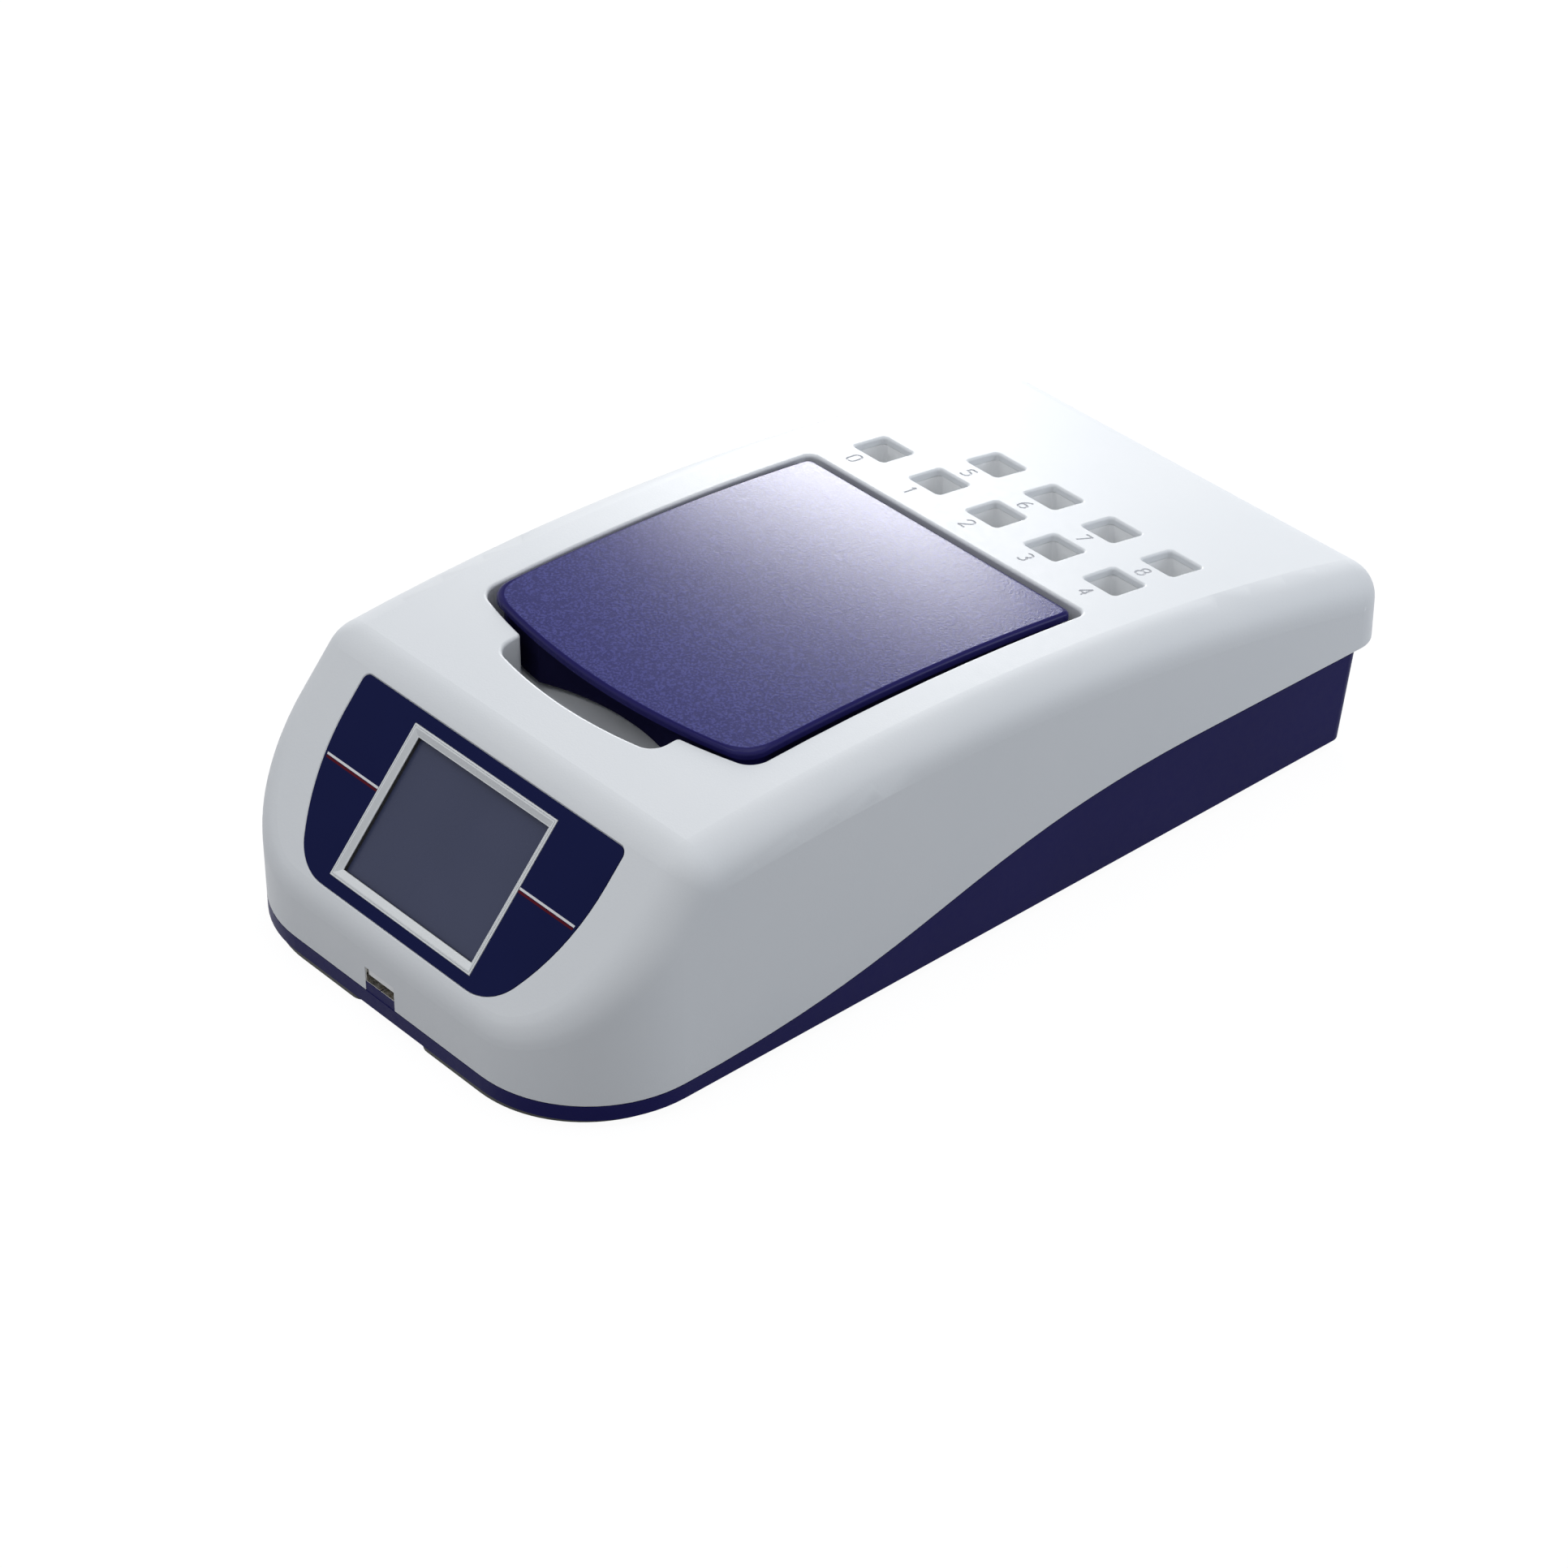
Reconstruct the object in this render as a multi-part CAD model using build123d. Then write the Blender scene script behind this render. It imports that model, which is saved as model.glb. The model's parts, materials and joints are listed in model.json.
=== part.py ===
from build123d import *
import math
import os

# Visible spectrophotometer. Millimetres, X to the right, Y to the back, Z up. The origin lies
# on the bench, in the middle of the footprint.

# Case, outside
case_length = 322.0
case_width = 165.6
wall = 2.5
front_corner_radius = 40.0
edge_radius = 12.0
crown_height = 81.0
crown_y = -42.0
crown_radius = 800.0
panel_angle = 48.3
panel_drop = 55.0
crest_radius = 14.0

# Feet and tray
foot_height = 2.5
foot_recess = 0.5
foot_clearance = 0.05
front_foot_width = 7.0
front_foot_front_inset = 1.0
front_foot_side_inset = 3.0
front_foot_corner_radius = 39.0
front_foot_end_radius = 5.0
front_foot_inner_x = 12.0
front_foot_length = 50.0
rear_foot_radius = 7.0
rear_foot_side_inset = 22.8
rear_foot_setback = 37.0
foot_chamfer = 0.6
tray_floor = 2.5
tray_foot_setback = 17.0
tray_top_setback = 12.2
tray_rear_corner_radius = 4.5
lip_thickness = 1.2
lip_height = 3.0
lip_clearance = 0.15

# Parting line between tray and cover: level, an S curve, then nearly level
split_gap = 0.3
split_front_height = 7.6
split_shoulder_height = 32.9
split_rear_height = 32.1
split_rise_setback = 40.8
split_shoulder_setback = 86.0
split_curve_share = 0.468

# Lid opening, its finger recess and the sunken deck
opening_side_margin = 23.2
opening_rear_y = 52.75
opening_front_y = -84.0
opening_front_radius = 209.0
opening_front_corner_radius = 7.0
opening_rear_corner_radius = 3.5
recess_half_width = 34.5
recess_depth = 10.0
recess_front_radius = 154.0
recess_corner_radius = 6.0
recess_junction_radius = 1.5
opening_edge_radius = 1.0
deck_drop = 19.5
deck_thickness = 2.5
deck_fillet = 2.0

# Lid and its hinge
lid_side_gap = 2.5
lid_rear_gap = 3.1
lid_front_gap = 2.3
lid_front_radius = 235.0
lid_front_corner_radius = 8.5
lid_rear_corner_radius = 2.5
lid_rise = 1.3
lid_crown_y = -49.6
lid_crown_radius = 771.0
lid_lip = 2.5
lid_edge_radius = 1.2
lid_wall = 2.0
skirt_inset = 2.0
skirt_clearance = 2.0
rear_skirt_rise = 5.5
pocket_radius = 80.0
pocket_depth = 8.7
hinge_y = 44.0
hinge_rise = 8.5
hinge_side_inset = 17.1
hinge_pin_radius = 1.5
hinge_running_gap = 0.05
hinge_side_gap = 0.3
ear_radius = 2.7
ear_width = 5.0
ear_slot_gap = 0.6
lug_width = 4.0
bracket_base = 1.5
bracket_width = 20.0
bracket_depth = 10.0
bracket_corner_radius = 1.5
bracket_screw_inset = 3.2
hinge_boss_radius = 3.0
hinge_boss_depth = 4.0
liner_rise = 4.5
liner_thickness = 2.0
liner_gap = 0.3
liner_rear_y = 35.0
liner_boss_radius = 3.0
liner_screw_side_inset = 7.0
liner_screw_front_inset = 9.0
liner_screw_rear_inset = 6.0
seal_margin = 1.0
seal_width = 4.0
seal_gap = 0.3
buffer_radius = 3.0
buffer_front_reach = 35.0
buffer_rear_reach = 40.0

# Sample chamber, centred on the light beam
beam_y = -20.0
beam_share = 0.468
chamber_side_margin = 23.6
chamber_half_length = 36.0
chamber_wall = 2.0
chamber_floor = 2.0
chamber_flange = 8.0
flange_thickness = 2.0
gasket_thickness = 0.5
window_radius = 6.0
holder_size = 26.0
holder_headroom = 2.5
holder_chamfer = 2.0
cuvette_size = 12.5
cuvette_clearance = 0.15
cuvette_floor = 5.0
beam_hole_radius = 4.0
spring_slot_depth = 2.0
spring_slot_half_width = 3.2
spring_rise = 12.0
spring_half_width = 3.0
spring_thickness = 0.4
spring_bow_half_length = 6.0
spring_tip_gap = 0.2

# Optics plate and what stands on it
plate_height = 10.0
plate_thickness = 2.0
plate_side_gap = 4.8
plate_front_y = -66.0
plate_rear_y = 42.0
plate_corner_radius = 4.0
plate_hole_inset = 5.0
lamp_window_margin = 3.0
lamp_side_inset = 18.8
lamp_radius = 4.5
lamp_base_size = 14.0
lamp_base_height = 8.0
lamp_base_radius = 2.0
bulb_headroom = 2.0
shelf_rise = 4.5
bracket_foot = 12.0
bracket_screw_reach = 7.0
sheet = 1.5
shield_width = 22.0
shield_depth = 26.0
shield_headroom = 9.0
shield_sheet = 0.8
shield_radius = 2.0
shield_vent_length = 14.0
shield_vent_width = 2.5
shield_vent_pitch = 6.0
shield_vent_count = 3
shield_cable_width = 8.0
shield_cable_height = 5.0
lens_reach = 19.0
lens_radius = 10.0
lens_thickness = 5.0
lens_retainer = 1.5
lens_bulge = 16.0
lens_mount_thickness = 8.0
lens_mount_margin = 4.0
lens_mount_radius = 6.0
spectrometer_gap = 4.0
spectrometer_width = 37.0
spectrometer_front_y = -56.0
spectrometer_rear_y = 32.0
spectrometer_headroom = 7.0
spectrometer_wall = 3.0
spectrometer_lid = 2.0
spectrometer_corner_radius = 3.0
spectrometer_screw_margin = 1.5
slit_radius = 5.0
slit_thickness = 1.0
slit_height = 4.0
slit_width = 0.3
slit_seat = 1.5
grating_reach = 26.0
grating_headroom = 4.0
grating_thickness = 6.0
grating_hollow_depth = 1.2
grating_tilt = 12.0
grating_mount_thickness = 4.0
grating_mount_rim = 1.0
grating_mount_foot = 9.0
grating_mount_foot_height = 3.0
detector_y = 9.0
detector_board_half_length = 16.0
detector_board_half_height = 11.0
detector_half_length = 11.0
detector_half_height = 5.0
detector_depth = 3.0
detector_window_depth = 0.4
detector_window_inset = 1.5
detector_window_margin = 3.5

# Front panel: places are measured up the slope from where it meets the front wall
overlay_side_margin = 25.2
overlay_bottom = 5.4
overlay_top = 62.5
overlay_straight_end = 51.1
overlay_side_radius = 73.8
overlay_corner_radius = 17.0
overlay_top_corner_radius = 2.5
overlay_recess = 0.5
overlay_thickness = 0.4
overlay_clearance = 0.15
overlay_edge_chamfer = 0.3
frame_width = 63.2
frame_length = 49.3
frame_bottom = 9.1
frame_rise = 0.1
frame_flange = 1.2
frame_chamfer = 0.1
frame_rim = 0.45
frame_groove_width = 0.25
frame_groove_depth = 0.3
frame_land = 0.35
frame_slope_depth = 1.2
frame_lip = 0.3
frame_lip_width = 0.2
screen_width = 58.1
screen_length = 43.2
glass_gap = 0.2
glass_thickness = 1.2
glass_margin = 3.5
module_thickness = 2.8
module_margin = 6.0
board_thickness = 1.6
display_board_side_margin = 15.0
display_board_end_margin = 9.0

# Circuit boards and cables
main_board_height = 11.0
main_board_side_gap = 24.8
main_board_setback = 23.0
main_board_gap = 6.0
rear_board_height = 10.0
rear_board_side_gap = 20.8
rear_board_right_x = 28.0
rear_board_setback = 23.0
rear_board_depth = 42.0
standoff_radius = 3.0
board_inset = 4.0
connector_depth = 8.0
connector_height = 7.0
connector_inset = 8.0
ribbon_width = 20.0
ribbon_thickness = 0.6
ribbon_x = -22.0
ribbon_setback = 12.0
ribbon_plug_height = 3.0
ribbon_rise = 20.0
ribbon_reach = 8.0
ribbon_drop = 14.0
ribbon_bend = 4.0
leads_x = 30.0
rear_leads_x = 10.0
lamp_leads_inset = 12.0
switch_leads_reach = 24.0
wire_radius = 0.8
wire_spacing = 4.0
wire_height = 3.5
wire_lift = 1.6
wire_run = 8.0
wire_end_gap = 0.2
wire_bend = 2.5
lamp_wire_bend = 8.0
switch_wire_bend = 1.5

# Front USB socket
usb_x = -2.4
usb_width = 13.1
usb_height = 5.2
usb_length = 14.0
usb_wall = 0.3
usb_corner_radius = 0.6
usb_seam_width = 0.3
usb_seam_length = 8.0
usb_recess = 0.3
usb_side_gap = 0.1
usb_top_gap = 0.1
usb_sill_rise = 2.9
usb_sill_recess = 0.15
usb_sill_gap = 0.1
usb_tongue_thickness = 1.8
usb_tongue_side_gap = 0.6
usb_tongue_top_gap = 0.4
usb_tongue_recess = 0.4
usb_back_length = 3.0
usb_board_half_width = 13.0
usb_board_overhang = 6.0
usb_board_start = 5.0
usb_board_hole_inset = 3.0
usb_standoff_radius = 2.5

# Cuvette wells, two rows behind the lid. Each row runs from its first to its last column,
# counted from the middle.
well_columns = [(-2, 2), (-1, 2)]
well_pitch = 25.0
well_size = 13.25
well_corner_radius = 1.5
well_edge_radius = 0.8
well_front_row_y = 73.85
well_row_spacing = 24.2
well_floor_drop = 35.0
well_tube_wall = 2.6
rack_gap = 0.1
rack_plate = 2.0
rack_end_margin = 1.0
rack_ear_drop = 25.0
rack_ear = 2.0
rack_screw_inset = 4.5
rack_boss_radius = 3.2
digit_height = 6.0
digit_width = 3.6
digit_stroke = 0.8
digit_depth = 0.35
digit_lead = 12.0

# Rear connectors, on the leaning rear wall of the tray
jack_x = -44.0
jack_width = 10.0
jack_height = 11.0
jack_length = 12.0
jack_radius = 4.0
jack_wall = 0.9
jack_depth = 9.0
jack_pin_radius = 1.0
jack_pin_recess = 0.5
jack_wall_gap = 0.4
data_x = -16.0
data_width = 12.0
data_height = 11.0
data_length = 16.0
data_wall = 0.5
data_chamfer = 2.0
data_tongue_width = 5.6
data_tongue_height = 3.2
data_tongue_recess = 1.5
data_back_length = 2.5
port_clearance = 0.3
port_recess = 0.3
switch_x = 40.0
switch_width = 12.6
switch_length = 19.2
switch_depth = 14.0
switch_flange = 1.4
switch_flange_margin = 1.2
switch_flange_radius = 1.0
switch_fit = 0.1
switch_rise = 15.5
switch_well_depth = 8.0
rocker_half_width = 5.0
rocker_half_length = 7.6
rocker_end_gap = 0.9
rocker_side_gap = 0.3
rocker_pivot = -1.0
rocker_rise = 2.4
rocker_dip = 1.0
rocker_root_half_length = 4.5
rocker_root_depth = 5.0
rocker_heel_depth = 1.5
rocker_pin_gap = 0.2
rocker_edge_radius = 0.6
rocker_angle = 8.0
rocker_pin_radius = 1.0

# Underside: lamp door, bare plate and vent slots
door_offset = 4.0
door_width = 34.0
door_length = 46.0
door_rebate = 1.5
door_ledge = 6.0
door_gap = 0.2
door_lift = 0.1
door_boss_rise = 2.0
door_screw_end = 1.5
bare_plate_width = 60.0
bare_plate_length = 34.0
bare_plate_depth = 0.5
bare_plate_radius = 2.0
bare_plate_gap = 0.1
bare_plate_x = 34.0
vent_width = 3.0
vent_length = 26.0
vent_pitch = 7.0
vent_count = 7
vent_gap = 11.0

# Fasteners
case_screw_radius = 1.5
case_screw_head_radius = 3.1
case_screw_head = 2.0
case_screw_sink = 1.0
case_screw_side_insets = [14.8, 8.8, 12.8]
case_screw_front_reach = 49.0
case_screw_middle_y = 52.0
case_screw_rear_reach = 29.0
case_post_radius = 4.5
case_post_height = 9.0
small_screw_radius = 1.25
small_screw_head_radius = 2.4
small_screw_head = 1.6
screw_hole_gap = 0.2
screw_well_gap = 0.3
case_screw_bite = 9.0
rack_screw_bite = 7.5
lid_screw_bite = 6.5
hinge_screw_bite = 3.0
cover_screw_bite = 5.0
bracket_screw_bite = 1.0
board_screw_tip = 2.0
plate_screw_tip = 0.5
usb_screw_tip = 1.0
deck_skin = 0.5
pilot_spare = 0.5

# Worked out from the sizes above
front_y = -case_length / 2
rear_y = case_length / 2
side_x = case_width / 2
panel_foot_height = crown_height - panel_drop
deck_height = crown_height - deck_drop
deck_bottom = deck_height - deck_thickness
lid_crown_height = crown_height + lid_rise
hinge_height = deck_height + hinge_rise
liner_height = deck_height + liner_rise
rear_skirt_height = deck_height + rear_skirt_rise
well_floor_height = crown_height - well_floor_drop
rack_ear_height = crown_height - rack_ear_drop
tray_bottom = foot_height
floor_top = tray_bottom + tray_floor
plate_top = plate_height + plate_thickness
split_rise_start_y = front_y + split_rise_setback
split_rise_end_y = rear_y - split_shoulder_setback
opening_half_width = side_x - opening_side_margin
lid_half_width = opening_half_width - lid_side_gap
lid_rear_y = opening_rear_y - lid_rear_gap
lid_front_y = opening_front_y + lid_front_gap
skirt_bottom = deck_height + skirt_clearance
hinge_x = lid_half_width - hinge_side_inset
hinge_screw_offset = bracket_width / 2 - bracket_screw_inset
lug_inner = ear_width / 2 + hinge_side_gap
lug_outer = lug_inner + lug_width
overlay_half_width = side_x - overlay_side_margin
frame_middle = frame_bottom + frame_length / 2
frame_slope_start = frame_rim + frame_groove_width + frame_land
frame_seat = frame_slope_depth + frame_lip
glass_depth = wall + glass_gap
display_back = glass_depth + glass_thickness + module_thickness
chamber_half_width = opening_half_width - chamber_side_margin
plate_half_width = side_x - plate_side_gap
lamp_x = lamp_side_inset - side_x
lens_x = lamp_x + lens_reach
beam_height = plate_top + beam_share * (deck_bottom - plate_top)
shelf_top = plate_top + shelf_rise + sheet
lamp_base_top = shelf_top + lamp_base_height
shield_height = deck_bottom - shield_headroom - shelf_top
spectrometer_left_x = chamber_half_width + spectrometer_gap
spectrometer_right_x = spectrometer_left_x + spectrometer_width
spectrometer_top = deck_bottom - spectrometer_headroom - spectrometer_lid
grating_size = 2 * (spectrometer_top - beam_height - grating_headroom)
grating_x = spectrometer_left_x + grating_reach
main_board_half_width = side_x - main_board_side_gap
main_board_front_y = front_y + main_board_setback
main_board_rear_y = plate_front_y - main_board_gap
rear_board_left_x = rear_board_side_gap - side_x
rear_board_rear_y = rear_y - rear_board_setback
rear_board_front_y = rear_board_rear_y - rear_board_depth
board_top = rear_board_height + board_thickness
main_top = main_board_height + board_thickness
ribbon_y = main_board_rear_y - ribbon_setback
lamp_leads_x = rear_board_left_x + lamp_leads_inset
switch_leads_y = rear_board_front_y + switch_leads_reach
jack_centre_height = board_top + jack_height / 2
usb_floor = split_front_height + usb_sill_rise
usb_board_height = usb_floor - board_thickness
notch_top = usb_floor + usb_height + usb_top_gap
notch_half_width = usb_width / 2 + usb_side_gap
chamber_top = deck_bottom - gasket_thickness
holder_bottom = plate_top + chamber_floor
holder_top = chamber_top - holder_headroom
well_half = cuvette_size / 2 + cuvette_clearance
rack_half_width = 2 * well_pitch + well_size / 2 + well_tube_wall + rack_plate
rack_front_y = well_front_row_y - well_size / 2 - well_tube_wall - rack_end_margin
rack_rear_y = (
    well_front_row_y + well_row_spacing + well_size / 2 + well_tube_wall + rack_end_margin
)
rack_screw_x = rack_half_width + rack_screw_inset
door_x = lamp_x + door_offset
door_screw_y = beam_y + door_length / 2 - door_ledge / 2
vent_y = rear_board_front_y - vent_gap - vent_length / 2
post_top = floor_top + case_post_height
case_head_seat = tray_bottom + case_screw_head + case_screw_sink
rear_foot_x = side_x - rear_foot_side_inset
rear_foot_y = rear_y - rear_foot_setback
case_screw_xs = [side_x - inset for inset in case_screw_side_insets]
case_screw_ys = [front_y + case_screw_front_reach, case_screw_middle_y,
                 rear_y - case_screw_rear_reach]

# Lengths used only to make cutters and prisms long enough
REACH = 120.0
HALF_REACH = REACH / 2
OVERSHOOT = 1.0


def block(x, y, z):
    """A box between two corners, given as three ranges."""
    centre = [(low + high) / 2 for low, high in (x, y, z)]
    size = [high - low for low, high in (x, y, z)]
    return Pos(*centre) * Box(*size)


def around(centre, reach):
    return (centre - reach, centre + reach)


def rod(start, end, radius):
    axis = Vector(*end) - Vector(*start)
    place = Plane(origin=start, z_dir=axis)
    return place * Pos(0, 0, axis.length / 2) * Cylinder(radius, axis.length)


def upright(x, y, bottom, top, radius):
    return rod((x, y, bottom), (x, y, top), radius)


def screw(x, y, seat, tip, radius, head_radius, head, point_down=True):
    """A screw with a cross slot. Its head's bearing face lies at the seat."""
    way = 1 if point_down else -1
    body = upright(x, y, seat, tip, radius) + upright(x, y, seat, seat + way * head, head_radius)
    body = fillet(body.edges().sort_by(Axis.Z)[-1 if point_down else 0], head * 0.4)
    slot_floor = seat + way * head * 0.5
    slot_mouth = seat + way * head
    z = (min(slot_floor, slot_mouth), max(slot_floor, slot_mouth))
    arm = head_radius * 0.55
    body -= block(around(x, arm), around(y, radius * 0.25), z)
    body -= block(around(x, radius * 0.25), around(y, arm), z)
    return body


def small_screw(x, y, seat, tip, point_down=True):
    return screw(x, y, seat, tip, small_screw_radius, small_screw_head_radius, small_screw_head,
                 point_down)


# Case surfaces

def plan_prism(inset, bottom, top, rear):
    """The case seen from above, with its two round front corners."""
    x = side_x - inset
    y = front_y + inset
    outline = make_face(Polyline((-x, y), (x, y), (x, rear), (-x, rear), close=True))
    corners = outline.vertices().sort_by(Axis.Y)[:2]
    outline = fillet(corners, front_corner_radius - inset)
    return extrude(Plane.XY.offset(bottom) * outline, top - bottom)


def arch_height(y, inset, crown=crown_height, at=crown_y, radius=crown_radius):
    return crown - radius + math.sqrt((radius - inset) ** 2 - (y - at) ** 2)


def side_profile(inset):
    """Front panel line, rounded crest, arched top and upright rear, in the YZ plane."""
    angle = math.radians(panel_angle)
    up_slope = Vector(math.cos(angle), math.sin(angle))
    inward = Vector(math.sin(angle), -math.cos(angle))
    start = Vector(front_y, panel_foot_height) + inward * inset - up_slope * HALF_REACH
    low, high = 0.0, 3 * REACH
    for _ in range(50):
        middle = (low + high) / 2
        point = start + up_slope * middle
        if point.Y < arch_height(point.X, inset):
            low = middle
        else:
            high = middle
    crest = start + up_slope * low
    rear = rear_y - inset
    rear_top = arch_height(rear, inset)
    outline = Line(start, crest)
    outline += ThreePointArc(crest, (crown_y, arch_height(crown_y, inset)), (rear, rear_top))
    outline += Polyline((rear, rear_top), (rear, -REACH), (start.X, -REACH), start)
    face = make_face(outline)
    crest_corner = face.vertices().sort_by_distance((crest.X, crest.Y, 0))[0]
    return Plane.YZ * fillet(crest_corner, crest_radius - inset)


def sharp_edges(shape, least_turn=12.0):
    faces_at = {}
    for face in shape.faces():
        for edge in face.edges():
            faces_at.setdefault(edge, []).append(face)
    sharp = []
    for edge, faces in faces_at.items():
        if len(faces) == 2:
            middle = edge @ 0.5
            if faces[0].normal_at(middle).get_angle(faces[1].normal_at(middle)) > least_turn:
                sharp.append(edge)
    return sharp


def envelope(inset):
    """The whole case as one solid, with every upper edge rounded."""
    base = -HALF_REACH
    prism = plan_prism(inset, base, REACH, rear_y + REACH)
    raw = prism & extrude(side_profile(inset), REACH, both=True)
    edges = [edge for edge in sharp_edges(raw) if (edge @ 0.5).Z > base + 1]
    return fillet(edges, edge_radius - inset)


def below_split(shift=0.0):
    """Everything under the parting surface, which can be shifted up or down."""
    pull = split_curve_share * (split_rise_end_y - split_rise_start_y)
    front = (-2 * REACH, split_front_height + shift)
    start = (split_rise_start_y, split_front_height + shift)
    start_pull = (split_rise_start_y + pull, split_front_height + shift)
    end_pull = (split_rise_end_y - pull, split_shoulder_height + shift)
    end = (split_rise_end_y, split_shoulder_height + shift)
    slope = (split_rear_height - split_shoulder_height) / (rear_y - split_rise_end_y)
    far = 2 * REACH
    rear = (far, split_shoulder_height + shift + slope * (far - split_rise_end_y))
    outline = Line(front, start) + Bezier(start, start_pull, end_pull, end)
    outline += Polyline(end, rear, (far, -REACH), (-2 * REACH, -REACH), front)
    return extrude(Plane.YZ * make_face(outline), REACH, both=True)


tray_lean = math.atan((tray_foot_setback - tray_top_setback) / (split_rear_height - tray_bottom))
rear_plane = Plane(
    origin=(0, rear_y - tray_foot_setback, tray_bottom),
    x_dir=(-1, 0, 0),
    z_dir=(0, math.cos(tray_lean), -math.sin(tray_lean)),
)


def rear_wall_y(height, inset=0.0):
    return (
        rear_y - tray_foot_setback + (height - tray_bottom) * math.tan(tray_lean)
        - inset / math.cos(tray_lean)
    )


def tray_block(inset, bottom, top=HALF_REACH):
    """The tray's plan with its leaning rear wall, at a given inset."""
    raw = plan_prism(inset, bottom, top, rear_y + REACH)
    ahead = rear_plane * Pos(0, 0, -2 * REACH - inset) * Box(4 * REACH, 4 * REACH, 4 * REACH)
    raw = raw & ahead
    up_slope = rear_plane.y_dir
    leaning = [
        edge for edge in raw.edges().filter_by(GeomType.LINE)
        if abs(abs((edge % 0.5).dot(up_slope)) - 1) < 1e-6
    ]
    return fillet(leaning, tray_rear_corner_radius * tray_rear_corner_radius
                  / (tray_rear_corner_radius + inset))


# Lid opening and lid outlines, seen from above

def arc_y(x, middle_y, radius):
    """A shallow arc that opens to the back as it leaves the middle."""
    return middle_y + radius - math.sqrt(radius**2 - x**2)


def opening_outline():
    x = opening_half_width
    front = arc_y(x, opening_front_y, opening_front_radius)
    main = make_face(
        ThreePointArc((-x, front), (0, opening_front_y), (x, front))
        + Polyline((x, front), (x, opening_rear_y), (-x, opening_rear_y), (-x, front))
    )
    front_corners = main.vertices().sort_by(Axis.Y)[:2]
    main = fillet(front_corners, opening_front_corner_radius)
    rear_corners = main.vertices().sort_by(Axis.Y)[-2:]
    main = fillet(rear_corners, opening_rear_corner_radius)
    x = recess_half_width
    recess_front_y = opening_front_y - recess_depth
    front = arc_y(x, recess_front_y, recess_front_radius)
    back = opening_front_y + recess_depth
    recess = make_face(
        ThreePointArc((-x, front), (0, recess_front_y), (x, front))
        + Polyline((x, front), (x, back), (-x, back), (-x, front))
    )
    recess = fillet(recess.vertices().sort_by(Axis.Y)[:2], recess_corner_radius)
    whole = main + recess
    junction_y = arc_y(x, opening_front_y, opening_front_radius)
    junctions = [
        corner for corner in whole.vertices()
        if abs(abs(corner.X) - x) < 0.01 and abs(corner.Y - junction_y) < 0.01
    ]
    return fillet(junctions, recess_junction_radius)


def lid_outline():
    x = lid_half_width
    front = arc_y(x, lid_front_y, lid_front_radius)
    outline = make_face(
        ThreePointArc((-x, front), (0, lid_front_y), (x, front))
        + Polyline((x, front), (x, lid_rear_y), (-x, lid_rear_y), (-x, front))
    )
    outline = fillet(outline.vertices().sort_by(Axis.Y)[:2], lid_front_corner_radius)
    return fillet(outline.vertices().sort_by(Axis.Y)[-2:], lid_rear_corner_radius)


def skirt_outline(inset):
    """The lid's skirt, with the finger pocket cut in its front by an arc."""
    outline = offset(lid_outline(), -skirt_inset - inset)
    pocket_back_y = lid_front_y + skirt_inset + pocket_depth
    pocket = Pos(0, pocket_back_y - pocket_radius) * Circle(pocket_radius + inset)
    return outline - pocket


def lid_arch(inset, floor=0.0):
    """Everything under the lid's arched top, lowered by an inset."""
    ends = [-REACH, REACH]
    tops = [arch_height(y, inset, lid_crown_height, lid_crown_y, lid_crown_radius) for y in ends]
    outline = ThreePointArc((ends[0], tops[0]), (lid_crown_y, lid_crown_height - inset),
                            (ends[1], tops[1]))
    outline += Polyline((ends[1], tops[1]), (ends[1], floor), (ends[0], floor), (ends[0], tops[0]))
    return extrude(Plane.YZ * make_face(outline), REACH, both=True)


def on_arch(edge, crown, at, radius, tolerance=0.01):
    """Whether an edge lies on an arched top."""
    return all(
        abs(math.hypot((edge @ t).Y - at, (edge @ t).Z - crown + radius) - radius) < tolerance
        for t in (0.1, 0.5, 0.9)
    )


# Front panel

panel_plane = Plane(
    origin=(0, front_y, panel_foot_height),
    x_dir=(1, 0, 0),
    z_dir=(0, -math.sin(math.radians(panel_angle)), math.cos(math.radians(panel_angle))),
)


def on_panel(shape, up, out=0.0, across=0.0):
    return panel_plane * Pos(across, up, out) * shape


def panel_slab(width, length, low, high, across=0.0, up=frame_middle):
    middle = (low + high) / 2
    return on_panel(Box(width, length, high - low), up, middle, across)


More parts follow.
